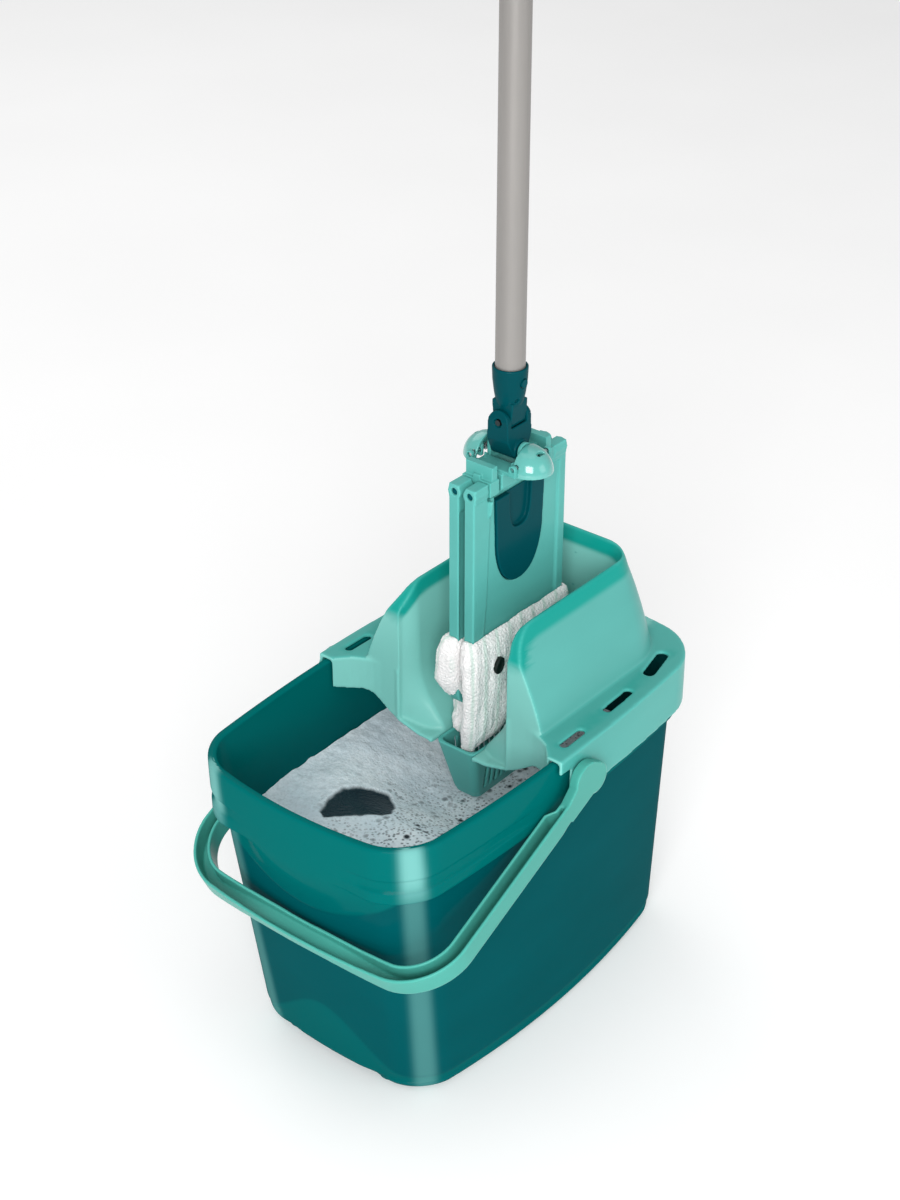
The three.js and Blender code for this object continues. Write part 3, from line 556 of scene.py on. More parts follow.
    # Painted highlight: a pale streak down each outer vertical corner, stronger on the rim band, in place of a
    # reflection.
    u = np.abs(x - middle) - (BASE["halfX"] * (1 - t) + RIM["halfX"] * t - 34)
    v = np.abs(y) - (BASE["halfY"] * (1 - t) + RIM["halfY"] * t - 34)
    turn = np.degrees(np.arctan2(v, u))
    centre = np.where((x < 0) & (y > 0), 16, 50)
    painted_highlight = np.exp(-(np.abs(turn - centre) / 14) ** 4) * (outward & reach & (u > -6) & (v > -6))
    paint(bucket, "painted_highlight", painted_highlight * (0.35 + 0.65 * smoothstep(205, 228, z)))
    return bucket


def paint(obj, name, values):
    layer = obj.data.attributes.new(name, "FLOAT", "POINT")
    layer.data.foreach_set("value", np.asarray(values, np.float32))


def merge(first, *others):
    """One mesh of several closed shells."""
    count = 0
    points, faces = [], []
    for obj in (first, *others):
        co = np.zeros(len(obj.data.vertices) * 3)
        obj.data.vertices.foreach_get("co", co)
        points.append(co.reshape(-1, 3) * 1000)
        faces += [tuple(count + v for v in p.vertices) for p in obj.data.polygons]
        count += len(obj.data.vertices)
    merged = build(first.name, np.vstack(points), faces)
    for obj in (first, *others):
        bpy.data.objects.remove(obj)
    return merged


# ---------- bail ----------
def make_bail():
    columns = 4 * 25 + 4 * 47
    full = outline(BAIL)
    order = [j for j in range(columns) if full[j, 0] > -1e-6]
    order = sorted(order, key=lambda j: math.atan2(full[j, 1], full[j, 0] + 1e-9))
    path = full[order]
    reach = path[:, 0]
    grip = 1 - smoothstep(18, 100, np.abs(path[:, 1]))
    grip = np.where(reach > 170, grip, 0)
    wide = smoothstep(43, 47, reach)
    width = 7.8 + 5.4 * wide + 3.0 * grip
    height = 17.5 + 1.5 * wide - 8.0 * grip
    top = 9.5 - 1.0 * grip
    floor = top - (height - 2.6) + 1.2 * grip
    skin = 2.3
    sections = []
    for j in range(len(order)):
        w, bottom, ceiling, low = width[j], top[j] - height[j], top[j], floor[j]
        sections.append(rounded(
            [(0, bottom), (0, ceiling), (-skin, ceiling), (-skin - 0.3, low), (skin + 0.3 - w, low),
             (skin - w, ceiling), (-w, ceiling), (-w, bottom)],
            [3, 0.9, 0.9, 1.2, 1.2, 0.9, 0.9, 2.5],
        ))
    sections = np.array(sections)
    rings = []
    for k in range(sections.shape[1]):
        flat = np.zeros(columns)
        flat[order] = sections[:, k, 0]
        xy = outline(BAIL, flat)[order]
        rings.append(np.column_stack([xy, sections[:, k, 1]]))
    rings = [np.array([ring[j] for ring in rings]) for j in range(len(order))]
    strap = loft("bail_handle", rings)
    eyes = []
    for side in (-1, 1):
        profile = [(0.01, 118.3), (11.9, 118.3), (12.8, 119.2), (13, 120.4), (13, 124.2), (12.6, 125.4),
                   (11.8, 125.9), (10.4, 126), (4, 126), (0.01, 126)]
        angles = np.arange(72) * 2 * math.pi / 72
        eyes.append(loft("eye", [
            np.column_stack([r * np.cos(angles), np.full(72, side * y), -side * r * np.sin(angles)])
            for r, y in profile
        ]))
        lobe = [(8 + 14.5 * math.cos(a), 8.5 + 14.5 * math.sin(a)) for a in np.linspace(0, 2 * math.pi, 73)[:-1]]
        neck = [(9.5, -8.9), (36, -8.4), (36, 8.4), (21, 14), (-2.6, 18.4), (-9.5, 8.9)]
        eyes.append(slab(lobe, *between(side, 118.3, 126), "y"))
        eyes.append(slab(neck, *between(side, 118.3, 126), "y"))
    bail = mould(join(strap, *eyes), 0.9, 3, 0.5)
    co = np.zeros(len(bail.data.vertices) * 3)
    bail.data.vertices.foreach_get("co", co)
    co = co.reshape(-1, 3)
    cos, sin = math.cos(BAIL_SLOPE), math.sin(BAIL_SLOPE)
    x = co[:, 0] * cos + co[:, 2] * sin
    z = -co[:, 0] * sin + co[:, 2] * cos
    turned = np.column_stack([STUB[0] / 1000 - x, co[:, 1], STUB[1] / 1000 + z])
    bail.data.vertices.foreach_set("co", turned.ravel())
    return bail


# ---------- press ----------
def upright(rows, roundness, grow=0, lowest=0, highest=1000):
    """A loft in z through rounded rectangles; heights between the rows are smoothed."""
    z_rows, half_rows, rear_rows = np.array(rows, float).T
    heights = np.unique(np.concatenate([np.linspace(z_rows[0], z_rows[-1], 40), z_rows]))
    if z_rows[0] < lowest or z_rows[-1] > highest:
        heights = heights[(heights >= lowest) & (heights <= highest)]
    rings = []
    for z in heights:
        half = smooth_value(z, z_rows, half_rows)
        rear = smooth_value(z, z_rows, rear_rows)
        half_x = (rear - PRESS_FRONT) / 2
        form = dict(x=PRESS_FRONT + half_x, halfX=half_x, halfY=half, radius=half * roundness)
        rings.append(ring_at(outline(form, grow, 20, 12), z))
    return loft("upright", rings)


def smooth_value(z, heights, values):
    """Cubic interpolation through a table."""
    slopes = np.gradient(values, heights)
    i = int(np.clip(np.searchsorted(heights, z) - 1, 0, len(heights) - 2))
    span = heights[i + 1] - heights[i]
    t = min(max((z - heights[i]) / span, 0), 1)
    a = values[i] * (1 + 2 * t) * (1 - t) ** 2 + slopes[i] * span * t * (1 - t) ** 2
    b = values[i + 1] * t * t * (3 - 2 * t) + slopes[i + 1] * span * t * t * (t - 1)
    return a + b


def stadium(x, y, length, width, turn, z0, z1):
    half = length / 2 - width / 2
    points = []
    for k in range(17):
        angle = -math.pi / 2 + k * math.pi / 16
        points.append((half + width / 2 * math.cos(angle), width / 2 * math.sin(angle)))
    for k in range(17):
        angle = math.pi / 2 + k * math.pi / 16
        points.append((-half + width / 2 * math.cos(angle), width / 2 * math.sin(angle)))
    cos, sin = math.cos(math.radians(turn)), math.sin(math.radians(turn))
    turned = [(x + u * cos - v * sin, y + u * sin + v * cos) for u, v in points]
    return slab(turned, z0, z1, "z")


def brow(x):
    """Height of the collar's top edge, which falls away in a curve at the front."""
    return 309 + 22 * (1 - (1 - np.clip(x / 30, 0, 1)) ** 2.4)


def dip(lower):
    curve = [(x + lower, brow(x) - lower) for x in np.linspace(0, 30, 30)]
    return slab([(-30, 309 - lower)] + curve + [(36, 336), (-30, 336)], -100, 100, "y")


def above_edge(lift, top):
    """Everything above the lower edge of the press's front."""
    edge_y, edge_z = (np.array(column[::-1], float) for column in zip(*APRON))
    fine = np.linspace(edge_y[0], edge_y[-1], 40)
    heights = [smooth_value(y, edge_y, edge_z) + lift for y in fine]
    edge = list(zip(-fine[::-1], heights[::-1])) + list(zip(fine, heights))
    return slab(edge + [(EAR[1] + 2, top), (-EAR[1] - 2, top)], -40, 20 + lift, "x")


def mouth(grow):
    """The flare of the throat at the press's front face."""
    z_rows, half_rows, _ = np.array(THROAT, float).T
    width, depth = MOUTH
    x = np.linspace(3, depth, 12)
    rings = []
    for z in np.linspace(z_rows[0], z_rows[-1], 40):
        half = smooth_value(z, z_rows, half_rows)
        side = half + (width - half) * ((depth - x) / (depth - 3)) ** 1.6 + grow
        points = [(-1, width + grow)] + list(zip(x + 0.8 * grow, side)) + [(depth + 2 * grow, half - 1)]
        rings.append(ring_at(np.array([(u, -v) for u, v in points] + points[::-1]), z))
    return loft("mouth", rings)


def make_press():
    other_side = [(x, -y) for x, y in FRONT_PLAN[::-1]]
    keep = [(EAR[0], 140)] + FRONT_PLAN + other_side + [(EAR[0], -140), (220, -140), (220, 140)]
    outer = outline(RIM, 4.3)
    plate = slab(outer, 255.4, FLANGE_TOP, "z")
    skirt = cut(
        slab(outer, 217, FLANGE_TOP - 0.4, "z"),
        slab(outline(RIM, 1.6), 216, 255.4, "z"),
        box(-60, -6, -200, 200, 216, 246.4),
    )
    rim_edge = common(join(plate, skirt), slab(keep, 150, 400, "z"))
    plan = FRONT_PLAN + other_side
    plan += [(x + 3, -y - 1) for x, y in FRONT_PLAN] + [(x + 3, y + 1) for x, y in FRONT_PLAN[::-1]]
    apron = common(slab(plan, 200, FLANGE_TOP, "z"), above_edge(0, FLANGE_TOP))
    block = common(upright(COLLAR, 0.55), box(0, 200, -100, 100, 255.4, 400))
    skin = common(upright(THROAT, 0.4, 2.8), box(0, 200, -100, 100, 206, FLANGE_TOP))
    shell = join(rim_edge, apron, block, skin, common(mouth(2.8), above_edge(0, FLANGE_TOP)))
    inside = join(upright(THROAT, 0.4), common(mouth(0), above_edge(3, 400)))
    lower_core = upright([(z - 2, h - 2.8, r - 2.8) for z, h, r in COLLAR], 0.55)
    hollow = cut(
        common(lower_core, box(3, 200, -100, 100, 250, 324)),
        upright([(z, h + 2.8, r + 2.8) for z, h, r in THROAT], 0.4),
        mouth(2.8),
        dip(2.8),
    )
    parts = [hollow, inside, dip(0)]
    for side in (-1, 1):
        parts.append(rod((STUB[0], side * 112, STUB[1]), (STUB[0], side * 120, STUB[1]), 6.2))
        parts.append(box(STUB[0] - 6.2, STUB[0] + 6.2, side * 112, side * 120, 216, STUB[1]))
        for x, y, length, width, turn in SLOTS:
            parts.append(stadium(x, y * side, length, width, turn * side, FLANGE_TOP - 10, FLANGE_TOP + 10))
    cut(shell, *parts)
    mould(shell, 1.15, 5, 0.42)
    points = coordinates(shell)
    # Painted shade: a darker strip along the collar's top edge.
    depth = brow(points[:, 0]) - points[:, 2]
    painted_light_and_shade = (1 - smoothstep(9, 14, depth)) * smoothstep(300, 312, points[:, 2] + 0.5 * points[:, 0])
    # Painted shade: a darker band beside the slots on the flange's top.
    slot_x, slot_y = np.array([slot[:2] for slot in SLOTS], float).T
    aside = np.abs(np.abs(points[:, 1]) - np.interp(points[:, 0], slot_x, slot_y))
    slot_shade = (1 - smoothstep(3, 10, aside)) * smoothstep(-12, -2, points[:, 0]) * (1 - smoothstep(150, 170, points[:, 0]))
    facing = normals(shell)
    # Painted light: the collar's inside and its front faces are painted paler, as if lit from the front.
    middle = (np.abs(points[:, 1]) < 56) & (points[:, 1] * facing[:, 1] < 0.2 * np.abs(points[:, 1]))
    painted_lit_faces = np.maximum(middle, (points[:, 0] < 6) & (facing[:, 0] < -0.5))
    paint(shell, "painted_highlight", 0.8 * painted_lit_faces * (1 - painted_light_and_shade))
    # Painted shade: the flange and skirt beside the collar are painted a little darker.
    painted_light_and_shade = np.maximum(painted_light_and_shade, 0.3 * (points[:, 2] < FLANGE_TOP + 1) * (np.abs(points[:, 1]) > 60) * (1 - painted_lit_faces))
    painted_light_and_shade = np.maximum(painted_light_and_shade, 0.6 * slot_shade * (points[:, 2] > FLANGE_TOP - 1.5) * (points[:, 2] < FLANGE_TOP + 1.5))
    paint(shell, "painted_light_and_shade", painted_light_and_shade)
    return shell


def make_strainer():
    def rows(inset, lift):
        rings = []
        for i, (z, half, low, high) in enumerate(STRAINER):
            form = dict(x=(low + high) / 2, halfX=(high - low) / 2 - inset, halfY=half - inset, radius=6)
            rings.append(ring_at(outline(form, 0, 8, 2), z + (lift if i == 0 else 0) + (lift * 3 if i == 2 else 0)))
        return loft("strainer", rings)

    basket = cut(rows(0, 0), rows(2, 2))
    x = 24
    while x < 128:
        cut(basket, box(x - 1.3, x + 1.3, -40, 40, 166, 202))
        x += 6.6
    return mould(basket, 0.75, 3, 0.5)


# ---------- mop head ----------
def tongue(half_width, top, bottom):
    def bezier(a, b, c, d):
        return [
            tuple((1 - t) ** 3 * np.array(a) + 3 * t * (1 - t) ** 2 * np.array(b)
                  + 3 * t * t * (1 - t) * np.array(c) + t ** 3 * np.array(d))
            for t in np.linspace(0, 1, 21)[1:]
        ]

    points = [(MOP_X - half_width, top), (MOP_X - half_width + 2, bottom + 34)]
    points += bezier(points[-1], (MOP_X - half_width * 0.8, bottom + 8), (MOP_X - 12, bottom), (MOP_X, bottom))
    points += bezier(
        points[-1], (MOP_X + 12, bottom), (MOP_X + half_width * 0.8, bottom + 8),
        (MOP_X + half_width - 2, bottom + 34),
    )
    points.append((MOP_X + half_width, top))
    return points


def make_wing(side):
    front, back, top, tip = WING["front"], WING["back"], WING["top"], WING["tip"]
    corner = [(16 * (1 - math.cos(a)), 16 * (1 - math.sin(a))) for a in np.linspace(0, math.pi / 2, 13)]
    plate = [(front, top)] + [(front + u, tip + v) for u, v in corner]
    plate += [(back - u, tip + v) for u, v in reversed(corner)] + [(back, top)]
    solid = slab(plate, *between(side, WING["inside"], WING["outside"]), "y")
    for x0, x1 in ((front, front + 16), (back - 16, back)):
        solid = join(
            solid,
            box(x0, x1, *between(side, WING["inside"], WING["outside"]), top - 1, PIN[1]),
            rod((x0, side * PIN[0], PIN[1]), (x1, side * PIN[0], PIN[1]), 5.8),
            box(x0 + 0.5, x1 - 0.5, *between(side, PIN[0] - 4.3, PIN[0] + 5.2), PIN[1] - 5, PIN[1] + 5.6),
        )
    for x0, x1 in ((front + 17, front + 25), (back - 25, back - 17)):
        rib = [(WING["outside"] - 2, top - 16), (WING["outside"] + 1.8, top - 11), (WING["outside"] + 2.6, top),
               (WING["outside"] - 2, top)]
        solid = join(solid, slab([(side * y, z) for y, z in rib[::side]], x0, x1, "x"))
    panel = slab(
        [(front + 20, top + 1), (front + 16, 330), (front + 9, 262), (back - 9, 262), (back - 8, top + 1)],
        *between(side, WING["outside"] - 1.6, WING["outside"] + 5), "y",
    )
    pocket = slab(tongue(29.4, top + 2, 334.6), *between(side, WING["outside"] - 5, WING["outside"] + 5), "y")
    bore = rod((0, side * PIN[0], PIN[1]), (140, side * PIN[0], PIN[1]), 2.75)
    groove = box(front + 2, back - 2, *between(side, WING["inside"] - 2, WING["inside"] + 1.4), 300, 408)
    cut(solid, panel, pocket, bore, groove)
    return mould(solid, 0.8, 3, 0.5)


def make_insert(side):
    outside = WING["outside"]
    face = slab(tongue(29, 412, 335), *between(side, outside - 4.6, outside), "y")
    scoop = slab(tongue(15, 416, 380), *between(side, outside - 3.6, outside + 5), "y")
    return mould(cut(face, scoop), 0.6, 4, 0.6)


def make_head_frame():
    saddle = rod((MOP_X, -18, YOKE_Z), (MOP_X, 18, YOKE_Z), 11.6)
    body = join(
        box(42, 90, -12.4, 12.4, 419, TOP_PLATE + 1),
        box(44, 88, -15.2, 15.2, TOP_PLATE, TOP_PLATE + 3),
        box(44, 49.4, -22.5, 22.5, TOP_PLATE, TOP_PLATE + 3),
        box(82.6, 88, -22.5, 22.5, TOP_PLATE, TOP_PLATE + 3),
        cut(
            common(
                rod((MOP_X, 0, TOP_PLATE + 2), (MOP_X, 0, TOP_PLATE + 6), 18),
                box(0, 140, -15.2, 15.2, TOP_PLATE, TOP_PLATE + 10),
            ),
            box(0, 140, -11.9, 11.9, TOP_PLATE + 3, TOP_PLATE + 10),
        ),
        box(28, 104, -3, 3, 419.5, TOP_PLATE + 3),
    )
    cut(body, saddle)
    parts = []
    for x0, x1 in ((28, 38), (94, 104)):
        parts.append(box(x0, x1, -13, 13, 418.4, 430))
    for x0, x1 in ((31, 37), (95, 101)):
        parts.append(box(x0, x1, -12, 12, 429, 440.5))
    for side in (-1, 1):
        parts.append(rod((MOP_X, side * 12.2, YOKE_Z), (MOP_X, side * 15.2, YOKE_Z), 6.5))
        parts.append(box(MOP_X - 6.5, MOP_X + 6.5, side * 12.2, side * 15.2, TOP_PLATE, YOKE_Z))
        for x0, x1 in ((44, 47), (85, 88)):
            parts.append(rod((x0, side * 19.5, 436.5), (x1, side * 19.5, 436.5), 3))
            parts.append(box(x0, x1, side * 16.5, side * 22.5, TOP_PLATE, 436.5))
    join(body, *parts)
    bores = [rod((MOP_X, -30, YOKE_Z), (MOP_X, 30, YOKE_Z), 2.95)]
    for side in (-1, 1):
        bores.append(rod((0, side * PIN[0], PIN[1]), (140, side * PIN[0], PIN[1]), 2.75))
        bores.append(rod((0, side * 19.5, 436.5), (140, side * 19.5, 436.5), 1.95))
    return mould(cut(body, *bores), 0.5, 3, 0.5)


def make_pedal(side):
    def ellipsoid(inset, drop):
        rings = []
        for lat in np.linspace(-math.pi / 2, math.pi / 2, 49):
            angles = np.arange(96) * 2 * math.pi / 96
            r = max(math.cos(lat), 1e-3)
            rings.append(np.column_stack([
                MOP_X - 1 + (18 - inset) * r * np.cos(angles),
                side * 17.0 + (20.8 - inset) * r * np.sin(angles),
                np.full(96, 429 - drop + (19 - inset) * math.sin(lat)),
            ]))
        return loft("pedal", rings)

    def limits():
        return box(0, 140, *between(side, 16.8, 60), 429, 500)

    dome = common(ellipsoid(0, 0), limits())
    cut(dome, ellipsoid(2.2, 0.01))
    for x0, x1 in ((55, 58), (74, 77)):
        lug = join(
            rod((x0, side * 19.5, 436.5), (x1, side * 19.5, 436.5), 5),
            box(x0, x1, side * 17.5, side * 25.5, 436.5, 443.5),
        )
        join(dome, common(lug, ellipsoid(1, 0), limits()))
    bore = rod((0, side * 19.5, 436.5), (140, side * 19.5, 436.5), 1.95)
    slot = stadium(MOP_X, side * 28.5, 8, 3, 0, 434.8, 500)
    return mould(cut(dome, bore, slot), 0.45, 3, 0.6)


def make_yoke():
    half = 14
    side = [
        (MOP_X - 8, YOKE_Z - 3), (MOP_X - half, YOKE_Z + 9), (MOP_X - half, SOCKET_Z + 2),
        (MOP_X - half + 2, SOCKET_Z + 9), (MOP_X + half - 2, SOCKET_Z + 9), (MOP_X + half, SOCKET_Z + 2),
        (MOP_X + half, YOKE_Z + 9), (MOP_X + 8, YOKE_Z - 3),
    ]
    front = [(-11, YOKE_Z - 10), (11, YOKE_Z - 10), (9, SOCKET_Z)]
    front += [(9 * math.cos(a), SOCKET_Z + 9 * math.sin(a)) for a in np.linspace(0, math.pi, 25)[1:]]
    body = common(slab(side, -11, 11, "y"), slab(front, 40, 95, "x"))
    join(body, rod((MOP_X, -11.6, YOKE_Z), (MOP_X, 11.6, YOKE_Z), 8))
    cut(
        body,
        box(MOP_X - 9.2, MOP_X + 9.2, -20, 20, SOCKET_Z - 4, SOCKET_Z + 20),
        rod((MOP_X - 9.2, 0, SOCKET_Z), (MOP_X + 9.2, 0, SOCKET_Z), 8.6),
        rod((MOP_X, -30, YOKE_Z), (MOP_X, 30, YOKE_Z), 2.95),
        rod((30, 0, SOCKET_Z), (100, 0, SOCKET_Z), 2.55),
        rod((40, 0, SOCKET_Z), (MOP_X - half + 1.2, 0, SOCKET_Z), 3.6),
        rod((MOP_X + half - 1.2, 0, SOCKET_Z), (95, 0, SOCKET_Z), 3.6),
    )
    return mould(body, 0.5, 3, 0.6)


def make_socket():
    cup = lathe([
        (0, 474), (8, 474), (9.2, 476.4), (10.2, 479), (11.0, 482.6), (11.6, 486), (12.2, 490.6), (12.8, 496),
        (13.2, 505.2), (13.0, 506), (11.4, 506), (11.4, 486.6), (0, 486.6),
    ], MOP_X)
    join(
        cup,
        rod((MOP_X - 8.8, 0, SOCKET_Z), (MOP_X + 8.8, 0, SOCKET_Z), 8),
        slab([(-8, SOCKET_Z), (8, SOCKET_Z), (9.4, 477), (9.4, 480), (-9.4, 480), (-9.4, 477)],
             MOP_X - 8.8, MOP_X + 8.8, "x"),
    )
    cut(
        cup,
        rod((30, 0, SOCKET_Z), (100, 0, SOCKET_Z), 2.55),
        rod((MOP_X, -9, 495), (MOP_X, -20, 495), 3.6),
        rod((MOP_X - 4, -8, 482), (MOP_X - 6, -20, 482), 1.6),
    )
    return mould(cup, 0.5, 3, 0.6)


def make_grip():
    rings = [(11.3, 1470), (13, 1470), (13.6, 1470.4)]
    heights = np.linspace(1474, 1592, 190)
    for z in heights:
        t = (z - 1474) / 118
        swell = 0.6 * math.cos(t * 18 * math.pi)
        rings.append((14.2 + swell - 0.25 * abs(math.sin(z * 1.2)), z))
    rings += [(13.7, 1595.4), (13, 1596), (11.3, 1596), (11.3, 1470)]
    return lathe(rings, MOP_X, 0, 96, "pole_grip")


def make_tube():
    wall = [(10.1, 487), (11, 487)]
    wall += [(11, z) for z in np.linspace(500, 1599, 80)]
    wall += [(10.8, 1600), (10.1, 1600), (10.1, 487)]
    return lathe(wall, MOP_X, 0, 96, "pole_tube")


def make_end_cap():
    plug = lathe([
        (0, 1578), (9.7, 1578), (9.7, 1600.4), (12.2, 1600.4), (12.4, 1600.8), (12.4, 1606.6), (11.6, 1608.6),
        (9, 1611.6), (0, 1612),
    ], MOP_X)
    loop = [(MOP_X - 9, 1606), (MOP_X + 9, 1606)]
    loop += [(MOP_X + 11 * math.cos(a), 1630 + 11 * math.sin(a)) for a in np.linspace(0, math.pi, 33)]
    eye = rod((MOP_X, -20, 1629), (MOP_X, 20, 1629), 6)
    return mould(cut(join(plug, slab(loop, -4, 4, "y")), eye), 0.5, 4, 0.6)


def make_pin(start, end, radius, bevel=0.4):
    """A pin along x or y with chamfered ends."""
    start, end = np.array(start, float), np.array(end, float)
    along = (end - start) / np.linalg.norm(end - start)
    side = np.array((0, 0, 1.0))
    other = np.cross(along, side)
    angles = np.arange(40) * 2 * math.pi / 40
    circle = np.outer(np.cos(angles), side) + np.outer(np.sin(angles), other)
    rings = [
        start + circle * (radius - bevel), start + along * bevel + circle * radius,
        end - along * bevel + circle * radius, end + circle * (radius - bevel),
    ]
    pin = loft("pin", rings)
    pin.data.polygons.foreach_set("use_smooth", [True] * len(pin.data.polygons))
    return pin



# ---------- microfibre cover ----------
COVER_ROWS = {
    # height, front end, back end, inner face, outer face
    "near": [
        (203, 8, 112, 0.8, 9.5), (214, 5, 120, 0.8, 13.5), (228, 3, 125, 0.8, 16.5), (246, 1.5, 128, 0.8, 18.5),
        (266, 1, 129, 0.8, 19.5), (286, 2, 129, 0.8, 18.8), (298, 5, 127, 0.8, 16.6), (304, 8, 125, 1.0, 14.6),
    ],
    "far": [
        (203, 24, 112, 0.8, 9), (214, 14, 120, 0.8, 12.5), (228, 18, 125, 0.8, 15.5), (240, 16, 127, 0.8, 17),
        (252, 6, 129, 0.8, 18.5), (266, 0.5, 130, 0.8, 20.5), (282, 0.5, 130, 0.8, 20.5), (295, 2.5, 128, 0.8, 18),
        (304, 7, 125, 1.0, 14.8),
    ],
}


def value_noise(points, scale, seed):
    """Smooth noise from -1 to 1 at points, from a few turned sine waves."""
    source = np.random.default_rng(seed)
    total = np.zeros(len(points))
    for _ in range(7):
        direction = source.normal(size=3)
        direction /= np.linalg.norm(direction)
        pace = 2 * math.pi / scale * source.uniform(0.6, 1.6)
        total += np.sin(points @ direction * pace + source.uniform(0, 6.28))
    return total / 3.2


def coordinates(obj):
    co = np.zeros(len(obj.data.vertices) * 3)
    obj.data.vertices.foreach_get("co", co)
    return co.reshape(-1, 3) * 1000


def set_coordinates(obj, points):
    obj.data.vertices.foreach_set("co", (points / 1000).ravel())
    obj.data.update()


def normals(obj):
    values = np.zeros(len(obj.data.vertices) * 3)
    obj.data.vertices.foreach_get("normal", values)
    return values.reshape(-1, 3)


def throat_half(z):
    rows = np.array(THROAT, float)
    return np.interp(z, rows[:, 0], rows[:, 1])


def keep_inside(points, side):
    """Holds the cloth on its own side of the middle, inside the throat and under its hem."""
    depth = np.clip(points[:, 1] * side, 0.5, throat_half(points[:, 2]) - 1.2)
    points[:, 1] = depth * side
    points[:, 2] = np.clip(points[:, 2], 201.5, 306)
    return points


def inflate(obj, cap):
    """Lets the cloth swell under a light pressure for twenty frames."""
    rest = coordinates(obj)
    cloth = obj.modifiers.new("cloth", "CLOTH")
    cloth.settings.quality = 6
    cloth.settings.mass = 0.25
    cloth.settings.tension_stiffness = 12
    cloth.settings.compression_stiffness = 12
    cloth.settings.bending_stiffness = 0.6
    cloth.settings.use_pressure = True
    cloth.settings.uniform_pressure_force = 4
    cloth.settings.effector_weights.gravity = 0
    cloth.point_cache.frame_start = 1
    cloth.point_cache.frame_end = 20
    scene = bpy.context.scene
    for step in range(1, 21):
        scene.frame_set(step)
    settle(obj)
    scene.frame_set(1)
    move = coordinates(obj) - rest
    length = np.maximum(np.linalg.norm(move, axis=1), 1e-6)
    set_coordinates(obj, rest + move * np.minimum(1, cap / length)[:, None])


def make_cover(name, side):
    seed = 11 if side < 0 else 23
    z_rows, front, back, inner, outer = np.array(COVER_ROWS[name], float).T
    rings = []
    for z in np.linspace(z_rows[0], z_rows[-1], 60):
        x0, x1, y0, y1 = (smooth_value(z, z_rows, values) for values in (front, back, inner, outer))
        half = (y1 - y0) / 2
        form = dict(x=(x0 + x1) / 2, halfX=(x1 - x0) / 2, halfY=half, radius=half * 0.92)
        plan = outline(form, 0, 10, 12)
        plan[:, 1] += side * (y0 + y1) / 2
        rings.append(ring_at(plan, z))
    cover = loft(f"cover_{name}", rings)
    mould(cover, 2.6, 2)
    inflate(cover, 3.0)
    points = keep_inside(coordinates(cover), side)
    away = normals(cover)
    outward = np.clip(away[:, 1] * side, 0, 1) + np.clip(-away[:, 0], 0, 1)
    along = points[:, 0] + 0.9 * points[:, 1] * side
    sway = 3.0 * value_noise(points * (1, 1, 0.25), 60, seed)
    folds = np.sin((along + sway) / 9.5 * 2 * math.pi) * (0.55 + 0.45 * value_noise(points, 38, seed + 1))
    crumple = value_noise(points * (1, 1, 0.7), 17, seed + 2)
    lower = 1 - smoothstep(215, 262, points[:, 2])
    points += away * ((1.1 * folds * (0.7 + 0.6 * lower) + 0.9 * crumple) * np.clip(outward, 0, 1))[:, None]
    set_coordinates(cover, keep_inside(points, side))
    subdivide = cover.modifiers.new("subdivide", "SUBSURF")
    subdivide.levels = 2
    subdivide.render_levels = 2
    settle(cover)
    points = coordinates(cover)
    away = normals(cover)
    tufts = value_noise(points, 3.4, seed + 3) * 0.5 + value_noise(points, 1.9, seed + 4) * 0.5
    points += away * (0.38 * tufts)[:, None]
    set_coordinates(cover, keep_inside(points, side))
    pocket = box(
        WING["front"] - 0.5, WING["back"] + 0.5, *between(side, WING["inside"] - 0.5, WING["outside"] + 0.5),
        WING["tip"] - 0.5, 400,
    )
    cut(cover, pocket)
    cover.data.polygons.foreach_set("use_smooth", [True] * len(cover.data.polygons))
    return cover


def make_eyelet(side, surface):
    """An oval moulded eyelet in the sleeve, set into the cloth."""
    rings = []
    profile = [(0.01, 0.3), (0.5, 0.35), (0.66, 0.6), (0.78, 1.5), (0.9, 1.8), (1.0, 1.3), (1.02, 0.2),
               (1.0, -2.4), (0.01, -2.4)]
    angles = np.arange(48) * 2 * math.pi / 48
    for scale, lift in profile:
        u = 4.6 * scale * np.cos(angles)
        v = 6.6 * scale * np.sin(angles)
        tilt = math.radians(-24)
        x = 29 + u * math.cos(tilt) - v * math.sin(tilt)
        z = 279.5 + u * math.sin(tilt) + v * math.cos(tilt)
        rings.append(np.column_stack([x, np.full(48, side * (surface + lift)), z]))
    return loft(f"eyelet_{side}", rings)


